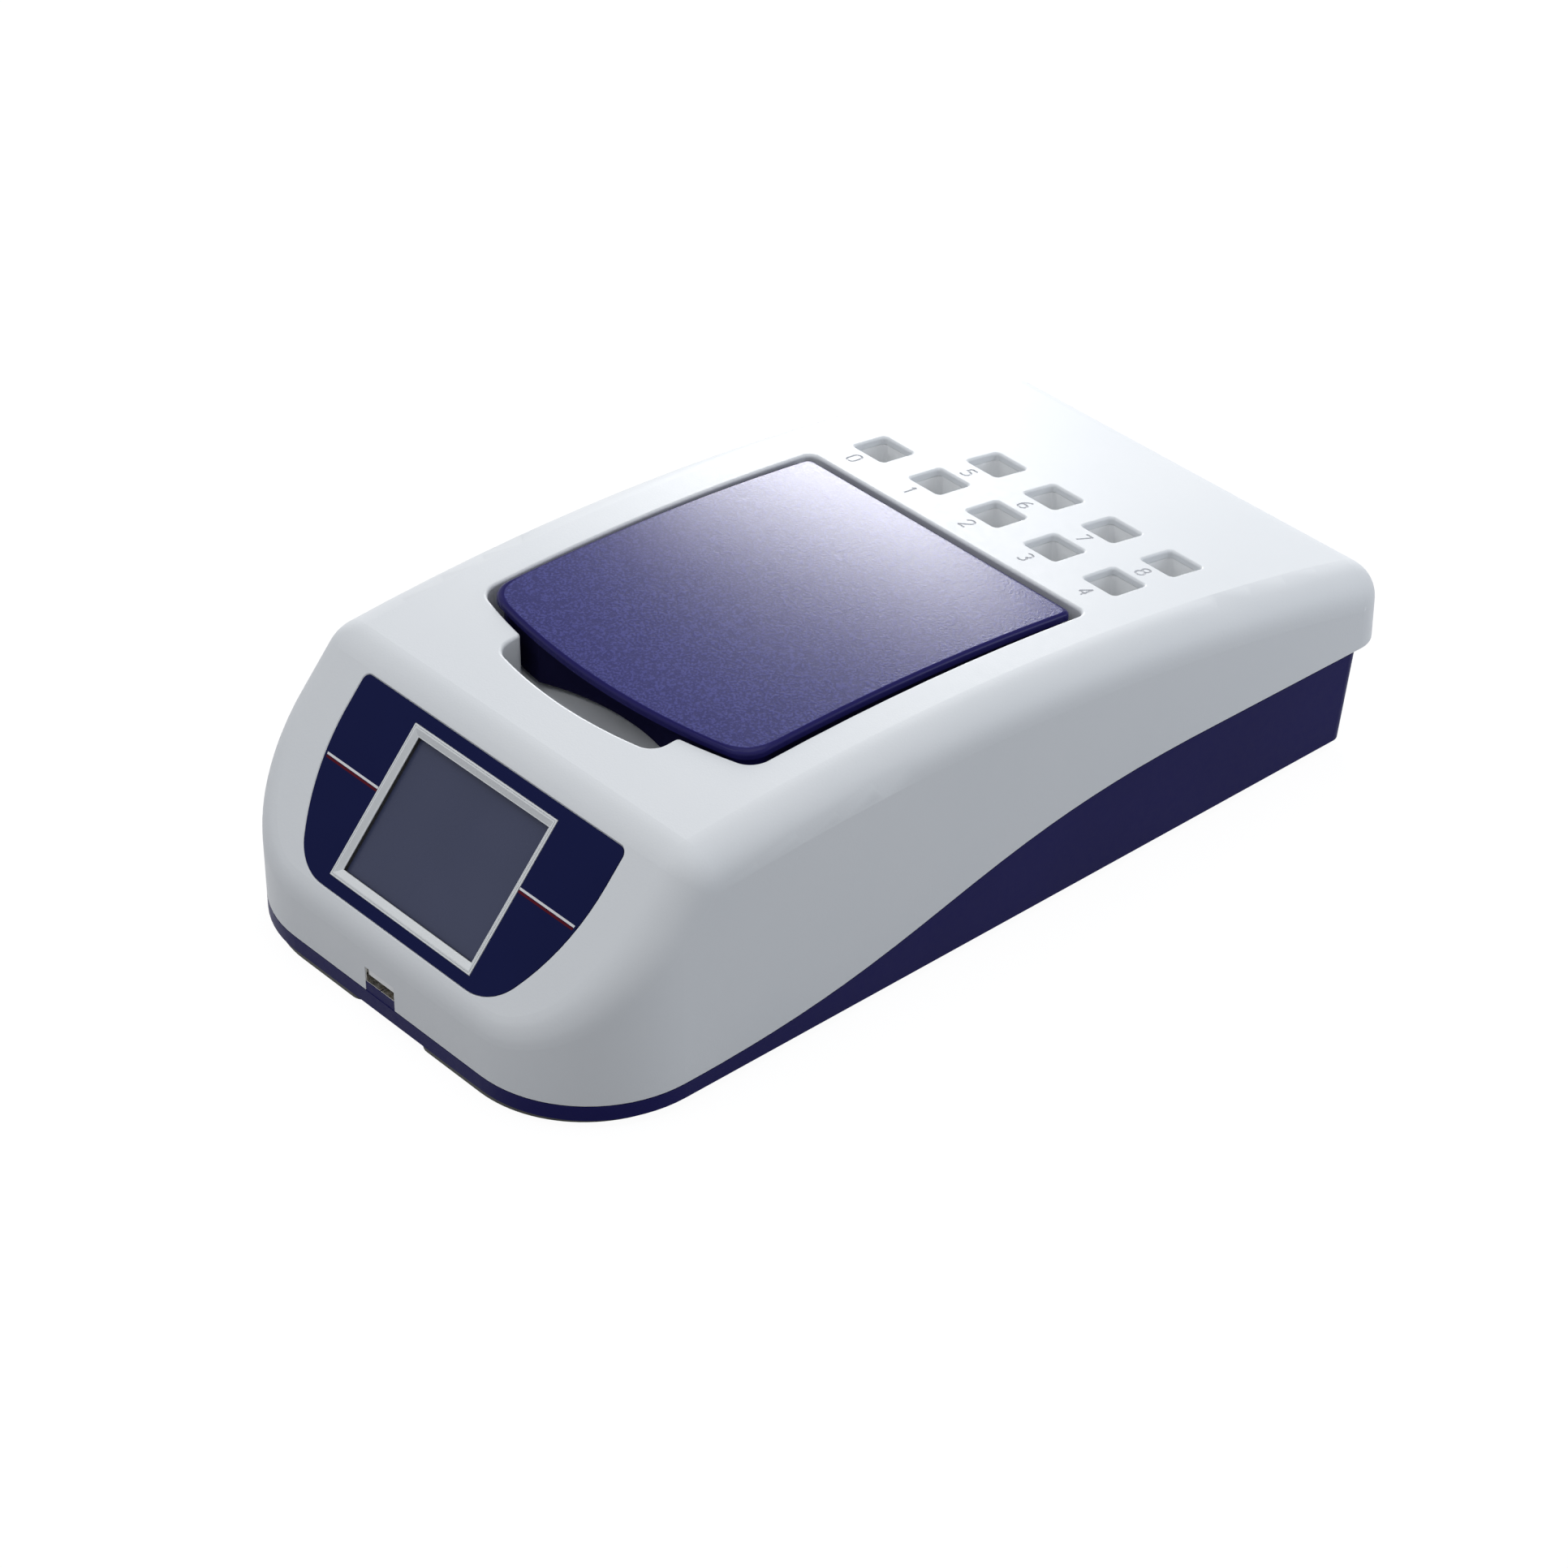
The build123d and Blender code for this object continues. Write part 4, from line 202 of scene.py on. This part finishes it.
def moulded(name, light, dark, rough, grain=2200.0, depth=0.00002, edge_wear_and_highlight=None, spec=0.5):
    """Moulded plastic: soft drift of colour, fine moulded grain, and edges lightened in patches,
    partly rubbed wear and partly painted edge highlight.
    """
    rough_drift = 0.04
    edge_wear_and_highlight_reach = 0.0005
    s = Surface(name)
    colour = s.blend(s.span(s.noise(22.0, 3.0), 0.35, 0.65), dark, light)
    # Lighter colour on the edges: partly rubbed wear, partly a painted highlight where the edges
    # catch the light.
    if edge_wear_and_highlight is not None:
        patches = s.span(s.noise(260.0, 3.0), 0.4, 0.7, 0.15, 0.8)
        colour = s.blend(s.math("MULTIPLY", s.edges(edge_wear_and_highlight_reach), patches), colour, edge_wear_and_highlight)
    s.set(Base_Color=colour, Specular_IOR_Level=spec)
    s.set(Roughness=s.span(s.noise(420.0), 0.3, 0.7, rough - rough_drift, rough + rough_drift))
    s.bump(s.noise(grain, 1.0), depth)
    return s


def brushed(name, light, dark, rough, along=(1.0, 1.0, 1.0), line=900.0, depth=0.000006):
    """Metal with drawn or milled lines that run where the stretch is small."""
    rough_drift = 0.06
    smudge_rough = 0.08
    s = Surface(name)
    lines = s.noise(line, where=s.stretch(*along))
    s.set(Base_Color=s.blend(s.span(lines, 0.3, 0.7), dark, light), Metallic=1.0)
    s.set(Roughness=s.math(
        "ADD",
        s.span(lines, 0.3, 0.7, rough - rough_drift, rough + rough_drift),
        s.span(s.noise(60.0, 3.0), 0.4, 0.7, 0.0, smudge_rough),
    ))
    s.bump(lines, depth)
    return s


# Finishes, one for each material slot of the record

def white_shell():
    """White plastic, grey in the bottoms of the digits engraved in front of the wells."""
    s = moulded("white_shell", (0.80, 0.82, 0.845), (0.785, 0.808, 0.835), rough=0.46,
                grain=1500.0, depth=0.000022, edge_wear_and_highlight=(0.86, 0.87, 0.88), spec=0.18)
    x, y, z = s.axes()
    from_crown = s.math("SUBTRACT", y, crown_y)
    squares = s.math("SUBTRACT", crown_radius**2, s.math("MULTIPLY", from_crown, from_crown))
    surface = s.math("SUBTRACT", s.math("SQRT", squares), crown_radius - crown_height)
    depth = s.math("SUBTRACT", surface, z)
    rows = s.math("MAXIMUM", *(s.near(y, row, digit_row_reach) for row in digit_rows_y))
    digits = s.math("MULTIPLY", rows, s.near(x, 0.0, digit_side_reach))
    # Grey from a little below the arch's surface downwards, within the rows of digits.
    grey_digits = s.math("MULTIPLY", digits, s.span(depth, grey_starts, grey_covers))
    plain = s.shader.inputs["Base Color"].links[0].from_socket
    return s.set(Base_Color=s.blend(grey_digits, plain, (0.62, 0.63, 0.66)))


def white_rack():
    return moulded("white_rack", (0.95, 0.96, 0.97), (0.94, 0.95, 0.96), rough=0.5,
                   grain=1500.0, depth=0.00001, spec=0.3)


def navy_base():
    return moulded("navy_base", (0.0115, 0.0108, 0.090), (0.0100, 0.0095, 0.082), rough=0.40,
                   grain=1400.0, depth=0.000018, edge_wear_and_highlight=(0.030, 0.030, 0.14), spec=0.05)


def inside_lid(s):
    """How far a place lies inside the lid's outline, with its corners rounded."""
    x, y, _ = s.axes()
    side = s.math("SUBTRACT", lid_half_width, s.math("ABSOLUTE", x))
    rear = s.math("SUBTRACT", lid_rear_y, y)
    ahead = s.math("SUBTRACT", lid_front_centre_y, y)
    squares = s.math("ADD", s.math("MULTIPLY", x, x), s.math("MULTIPLY", ahead, ahead))
    front = s.math("SUBTRACT", lid_front_radius, s.math("SQRT", squares))
    side_or_rear = s.math("SMOOTH_MIN", side, rear, lid_rear_rounding)
    return s.math("SMOOTH_MIN", side_or_rear, front, lid_front_rounding)


def blue_lid():
    """Grained top with painted glints, a smooth polished band round its edge, and a skirt painted
    darker as shade on the faces that look little up.
    """
    dark_ground, light_ground = (0.009, 0.009, 0.120), (0.012, 0.012, 0.130)
    # This colour is painted light: lighter specks on the grain's peaks stand for glints of the
    # lamps.
    painted_glint_colour = (0.060, 0.063, 0.29)
    # The skirt's colour is the band's blue darkened: painted shade.
    band_colour, skirt_shade_colour = (0.0150, 0.0125, 0.100), (0.0125, 0.0115, 0.042)
    band_rough, grain_rough = 0.20, 0.258
    rim_gloss, band_gloss, grain_gloss = 0.12, 0.035, 0.21
    grain_depth = 0.000045

    s = Surface("blue_lid")
    inside = inside_lid(s)
    upward = s.upward()
    grained = s.math("MULTIPLY", s.span(inside, 0.0011, 0.0014), s.span(upward, 0.90, 0.95))
    # Faces that look little up, the skirt and the sides, get the darker colour as painted shade.
    shaded_skirt = s.math("MULTIPLY", s.span(upward, 0.2, 0.4, 1.0, 0.0), s.span(inside, 0.0013, 0.0018))

    grain = s.noise(1200.0, rough=0.6)
    # Painted glints: the grain's peaks get a lighter colour, as if they caught the light.
    painted_glints = s.math("MULTIPLY", s.span(grain, 0.46, 0.61), 0.65)
    ground = s.blend(s.span(s.noise(18.0), 0.35, 0.65), dark_ground, light_ground)
    smooth = s.blend(shaded_skirt, band_colour, skirt_shade_colour)
    s.set(Base_Color=s.blend(grained, smooth, s.blend(painted_glints, ground, painted_glint_colour)))
    s.set(Roughness=s.span(grained, 0.0, 1.0, band_rough, grain_rough))

    polish = s.span(inside, 0.0002, 0.0009, rim_gloss, band_gloss)
    gloss = s.span(grained, 0.0, 1.0, polish, grain_gloss)
    s.set(Specular_IOR_Level=s.math("MULTIPLY", gloss, s.math("SUBTRACT", 1.0, shaded_skirt)))
    s.set(Specular_Tint=(0.86, 0.88, 1.0))
    s.bump(s.math("MULTIPLY", grain, grained), grain_depth)
    return s


def navy_overlay():
    return moulded("navy_overlay", (0.0090, 0.0124, 0.0645), (0.0082, 0.0113, 0.0600),
                   rough=0.34, grain=5200.0, depth=0.000004, spec=0.03)


def pale_frame():
    return moulded("pale_frame", (0.80, 0.82, 0.83), (0.785, 0.805, 0.82), rough=0.34,
                   grain=2600.0, depth=0.000006, edge_wear_and_highlight=(0.93, 0.94, 0.95), spec=0.35)


def screen_glass():
    """Unlit touch screen: slate grey layer under satin glass, with faint picture cells."""
    dark_layer, light_layer = (0.050, 0.059, 0.112), (0.058, 0.067, 0.124)
    s = Surface("screen_glass")
    cells = s.noise(1.0, detail=0.0, where=s.stretch(5200.0, 3900.0, 3900.0))
    layer = s.blend(s.span(s.noise(26.0), 0.3, 0.7), dark_layer, light_layer)
    s.set(Base_Color=s.blend(s.math("MULTIPLY", cells, 0.12), layer, (0.078, 0.085, 0.14)))
    s.set(Roughness=s.span(s.noise(90.0, 3.0), 0.35, 0.7, 0.24, 0.30))
    s.set(IOR=1.5, Specular_IOR_Level=0.18)
    s.bump(s.noise(700.0, 1.0), 0.000002)
    return s


def board():
    """Solder mask over copper runs."""
    s = Surface("board")
    runs = s.tree.nodes.new("ShaderNodeTexBrick")
    runs.inputs["Scale"].default_value = 90.0
    runs.inputs["Mortar Size"].default_value = 0.018
    s.tree.links.new(s.place, runs.inputs["Vector"])
    mask = s.blend(s.span(s.noise(40.0), 0.3, 0.7), (0.010, 0.085, 0.035), (0.014, 0.11, 0.045))
    s.set(Base_Color=s.blend(runs.outputs["Fac"], mask, (0.03, 0.20, 0.08)), Roughness=0.34)
    s.bump(runs.outputs["Fac"], 0.00003)
    return s


def black_plastic():
    return moulded("black_plastic", (0.014, 0.014, 0.016), (0.010, 0.010, 0.012), rough=0.48,
                   grain=1800.0, edge_wear_and_highlight=(0.045, 0.045, 0.05))


def grey_plastic():
    return moulded("grey_plastic", (0.92, 0.93, 0.94), (0.89, 0.90, 0.91), rough=0.45,
                   grain=1800.0, depth=0.00001)


def connector_metal():
    return brushed("connector_metal", (0.66, 0.65, 0.62), (0.56, 0.55, 0.53), rough=0.26,
                   along=(1.0, 6.0, 1.0))


def screw_steel():
    return brushed("screw_steel", (0.62, 0.62, 0.63), (0.48, 0.48, 0.50), rough=0.30)


def pin_steel():
    return brushed("pin_steel", (0.74, 0.74, 0.76), (0.62, 0.62, 0.64), rough=0.16,
                   along=(9.0, 1.0, 1.0))


def anodised():
    return brushed("anodised", (0.030, 0.030, 0.033), (0.020, 0.020, 0.023), rough=0.44,
                   along=(1.0, 1.0, 5.0))


def bare_aluminium():
    return brushed("bare_aluminium", (0.76, 0.77, 0.78), (0.66, 0.67, 0.68), rough=0.34,
                   along=(1.0, 14.0, 1.0))


def spring_steel():
    return brushed("spring_steel", (0.62, 0.61, 0.58), (0.50, 0.49, 0.47), rough=0.28,
                   along=(1.0, 1.0, 8.0))


def optical_glass():
    """Clear glass with a little dust."""
    s = Surface("optical_glass")
    dust = s.span(s.noise(900.0, 4.0, 0.7), 0.60, 0.75)
    s.set(Base_Color=s.blend(dust, (0.93, 0.96, 0.97), (0.80, 0.82, 0.84)))
    s.set(Roughness=s.span(dust, 0.0, 1.0, 0.01, 0.10), Transmission_Weight=0.95, IOR=1.5)
    s.bump(s.noise(150.0), 0.000001)
    return s


def ceramic():
    return moulded("ceramic", (0.84, 0.82, 0.77), (0.78, 0.76, 0.71), rough=0.42,
                   grain=900.0, depth=0.00003)


def foot_rubber():
    s = moulded("foot_rubber", (0.020, 0.023, 0.020), (0.013, 0.015, 0.013), rough=0.66,
                grain=1100.0, depth=0.00003, edge_wear_and_highlight=(0.05, 0.052, 0.048))
    return s.set(Sheen_Weight=0.15, Sheen_Roughness=0.6)


def foam():
    """Black foam with open pores."""
    inside, between = (0.006, 0.006, 0.006), (0.022, 0.022, 0.022)
    s = Surface("foam")
    pores = s.cells(1600.0)
    s.set(Base_Color=s.blend(s.span(pores, 0.1, 0.6), inside, between))
    s.set(Roughness=s.span(pores, 0.0, 0.6, 0.95, 0.8))
    s.bump(pores, 0.0002)
    return s


def label():
    return brushed("label", (0.66, 0.67, 0.69), (0.60, 0.61, 0.63), rough=0.42,
                   along=(1.0, 16.0, 1.0))


def wire():
    return moulded("wire", (0.30, 0.016, 0.014), (0.24, 0.012, 0.011), rough=0.45,
                   grain=800.0, depth=0.00001)


def ribbon():
    """Flat cable with a ridge over each core."""
    core_pitch = 0.00127
    s = Surface("ribbon")
    x, _, _ = s.axes()
    cores = s.math("SINE", s.math("MULTIPLY", x, 2.0 * math.pi / core_pitch))
    s.set(Base_Color=s.blend(s.span(cores, -1.0, 1.0), (0.40, 0.41, 0.43), (0.55, 0.56, 0.58)))
    s.set(Roughness=s.span(s.noise(300.0), 0.3, 0.7, 0.38, 0.5))
    s.bump(cores, 0.0001)
    return s


def mirror_coat():
    return brushed("mirror_coat", (0.88, 0.88, 0.90), (0.82, 0.82, 0.84), rough=0.06,
                   along=(1.0, 1.0, 18.0), line=2600.0)


finishes = {
    make.__name__: make().material
    for make in (
        white_shell, white_rack, navy_base, blue_lid, navy_overlay, pale_frame, screen_glass,
        board, black_plastic, grey_plastic, connector_metal, screw_steel, pin_steel, anodised,
        bare_aluminium, spring_steel, optical_glass, ceramic, foot_rubber, foam, label, wire,
        ribbon, mirror_coat,
    )
}
for part in frame["record"]["subparts"]:
    for slot in nodes[part["node"]].material_slots:
        slot.material = finishes[part["material_slot"]]


# Small pieces that the solids don't have

def piece(name, bm, material):
    mesh = bpy.data.meshes.new(name)
    bm.to_mesh(mesh)
    bm.free()
    obj = bpy.data.objects.new(name, mesh)
    bpy.context.scene.collection.objects.link(obj)
    mesh.materials.append(material)
    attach(obj, "case")


# Stripes on the front panel. Across is X, up is measured up the slope from the panel's foot,
# and out is square to the panel.

up_slope = Vector((0.0, math.cos(panel_lean), math.sin(panel_lean)))
outward = Vector((0.0, -math.sin(panel_lean), math.cos(panel_lean)))


def on_panel(across, up, out):
    return panel_foot + Vector((across, 0.0, 0.0)) + up_slope * up + outward * out


def slab(outline, low, high):
    """A closed thin solid on the panel, from an outline of (across, up) points."""
    bm = bmesh.new()
    bottom = [bm.verts.new(on_panel(across, up, low)) for across, up in outline]
    top = [bm.verts.new(on_panel(across, up, high)) for across, up in outline]
    bm.faces.new(list(reversed(bottom)))
    bm.faces.new(top)
    for i in range(len(outline)):
        j = (i + 1) % len(outline)
        bm.faces.new((bottom[i], bottom[j], top[j], top[i]))
    bmesh.ops.recalc_face_normals(bm, faces=bm.faces)
    return bm


def overlay_edge(up):
    """Half the overlay's width at a place on the slope."""
    below_arc = max(0.0, overlay_arc_up - up)
    return overlay_arc_across + math.sqrt(overlay_arc_radius**2 - below_arc**2)


def stripe(name, side, up, material):
    """A line of print from the screen's frame nearly to the overlay's edge."""
    inner = frame_half_width + stripe_frame_gap
    low, high = up - stripe_width / 2, up + stripe_width / 2
    outer = [(overlay_edge(s) - stripe_edge_gap, s) for s in (low, up, high)]
    outline = [(side * across, s) for across, s in ((inner, low), *outer, (inner, high))]
    piece(name, slab(outline, stripe_bottom, stripe_top), material)


ink_white = moulded("ink_white", (0.78, 0.79, 0.81), (0.74, 0.75, 0.77), rough=0.4,
                    grain=3000.0, depth=0.000003).material
ink_red = moulded("ink_red", (0.100, 0.006, 0.015), (0.088, 0.005, 0.013), rough=0.4,
                  grain=3000.0, depth=0.000003, spec=0.05).material
for side, name in ((-1, "left"), (1, "right")):
    stripe(f"stripe_white_{name}", side, white_stripe_up, ink_white)
    stripe(f"stripe_red_{name}", side, red_stripe_up, ink_red)


# Contacts under the tongue of the front socket

gold = brushed("gold", (0.83, 0.60, 0.24), (0.70, 0.48, 0.18), rough=0.22,
               along=(1.0, 5.0, 1.0)).material
low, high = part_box("front_usb_tongue")
for i in range(contact_count):
    middle = (low.x + high.x) / 2 + (i - (contact_count - 1) / 2) * contact_pitch
    place = (middle, low.y + contact_setback, high.z - contact_drop)
    bm = bmesh.new()
    bmesh.ops.create_cube(bm, size=1.0)
    bmesh.ops.scale(bm, vec=contact_size, verts=bm.verts)
    bmesh.ops.translate(bm, vec=place, verts=bm.verts)
    bmesh.ops.bevel(bm, geom=bm.edges[:], offset=contact_edge, segments=2, affect="EDGES")
    piece(f"contact_{i}", bm, gold)


# Floor and world. Both show white behind the object and in its reflections.

floor_radius = 6.0
floor_drop = 0.0002
floor_colours = (0.43, 0.43, 0.44, 1.0), (0.45, 0.45, 0.46, 1.0)
floor_glow = 1.19
floor_glow_share = 0.80
fill_colour = (0.93, 0.96, 1.0, 1.0)
fill_strength = 0.415
white_colour = (1.0, 1.0, 1.0, 1.0)


def is_ray(tree, *kinds):
    """1 for the rays of the named kinds, 0 for all others."""
    path = tree.nodes.new("ShaderNodeLightPath")
    found = path.outputs[kinds[0]]
    for kind in kinds[1:]:
        either = tree.nodes.new("ShaderNodeMath")
        either.operation = "MAXIMUM"
        tree.links.new(found, either.inputs[0])
        tree.links.new(path.outputs[kind], either.inputs[1])
        found = either.outputs[0]
    return found


def mix_shaders(tree, output, factor, first, second):
    mix = tree.nodes.new("ShaderNodeMixShader")
    for socket, source in zip(mix.inputs, (factor, first, second)):
        tree.links.new(source, socket)
    tree.links.new(mix.outputs[0], tree.nodes.new(output).inputs[0])


def stage_material():
    """Pale floor that keeps the object's shadow and meets a white background."""
    material = bpy.data.materials.new("floor")
    material.use_nodes = True
    tree = material.node_tree
    tree.nodes.clear()
    diffuse = tree.nodes.new("ShaderNodeBsdfDiffuse")
    texture = tree.nodes.new("ShaderNodeTexNoise")
    texture.inputs["Scale"].default_value = 3.0
    tint = tree.nodes.new("ShaderNodeMix")
    tint.data_type = "RGBA"
    tint.inputs[6].default_value, tint.inputs[7].default_value = floor_colours
    glow = tree.nodes.new("ShaderNodeEmission")
    glow.inputs["Strength"].default_value = floor_glow
    share = tree.nodes.new("ShaderNodeMath")
    share.operation = "MULTIPLY"
    share.inputs[1].default_value = floor_glow_share
    tree.links.new(texture.outputs["Fac"], tint.inputs[0])
    tree.links.new(tint.outputs[2], diffuse.inputs["Color"])
    tree.links.new(is_ray(tree, "Is Camera Ray", "Is Glossy Ray"), share.inputs[0])
    mix_shaders(tree, "ShaderNodeOutputMaterial", share.outputs[0],
                diffuse.outputs[0], glow.outputs[0])
    return material


bm = bmesh.new()
bmesh.ops.create_circle(bm, cap_ends=True, segments=96, radius=floor_radius)
bmesh.ops.translate(bm, vec=(0.0, 0.0, -floor_drop), verts=bm.verts)
mesh = bpy.data.meshes.new("floor")
bm.to_mesh(mesh)
bm.free()
floor = bpy.data.objects.new("floor", mesh)
bpy.context.scene.collection.objects.link(floor)
mesh.materials.append(stage_material())

world = bpy.data.worlds.new("studio")
world.use_nodes = True
tree = world.node_tree
tree.nodes.clear()
fill = tree.nodes.new("ShaderNodeBackground")
fill.inputs["Color"].default_value = fill_colour
fill.inputs["Strength"].default_value = fill_strength
white = tree.nodes.new("ShaderNodeBackground")
white.inputs["Color"].default_value = white_colour
white.inputs["Strength"].default_value = 1.0
mix_shaders(tree, "ShaderNodeOutputWorld",
            is_ray(tree, "Is Camera Ray", "Is Glossy Ray", "Is Transmission Ray"),
            fill.outputs[0], white.outputs[0])
bpy.context.scene.world = world


# Lights: a soft box above, one high in front on the left, a small one low behind on the left
# for the sheen on the lid, and a cooler one low behind on the right.

def lamp(name, place, aim, size, power, colour=(1.0, 1.0, 1.0)):
    data = bpy.data.lights.new(name, "AREA")
    data.shape = "RECTANGLE"
    data.size, data.size_y = size
    data.energy = power
    data.color = colour
    obj = bpy.data.objects.new(name, data)
    bpy.context.scene.collection.objects.link(obj)
    obj.location = place
    obj.rotation_euler = (Vector(aim) - Vector(place)).to_track_quat("-Z", "Y").to_euler()


lamp("top_box", place=(0.0, 0.1, 1.5), aim=(0.0, 0.0, 0.0), size=(1.2, 1.2), power=6.7)
lamp("front_box", place=(-0.45, -0.95, 1.45), aim=(0.0, -0.08, 0.05), size=(0.6, 0.6), power=2.9)
lamp("lid_box", place=(-0.512, 0.514, 0.28), aim=(0.0, 0.0, 0.08), size=(0.22, 0.2), power=2.7)
lamp("side_box", place=(0.7, 0.7, 0.35), aim=(0.08, 0.08, 0.05), size=(0.4, 0.4), power=1.5,
     colour=(0.84, 0.91, 1.0))


# Camera, in front of the object on its right and above it

camera_place = (0.85346, -0.76853, 0.81837)
camera_azimuth = math.radians(48.42)
camera_elevation = math.radians(35.21)

camera_data = bpy.data.cameras.new("camera")
camera_data.sensor_width = 36.0
camera_data.lens = 107.74
camera_data.clip_start = 0.05
camera = bpy.data.objects.new("camera", camera_data)
bpy.context.scene.collection.objects.link(camera)
camera.location = camera_place
camera.rotation_euler = (math.radians(90.0) - camera_elevation, 0.0, camera_azimuth)
bpy.context.scene.camera = camera
bpy.context.scene.view_settings.view_transform = "Standard"
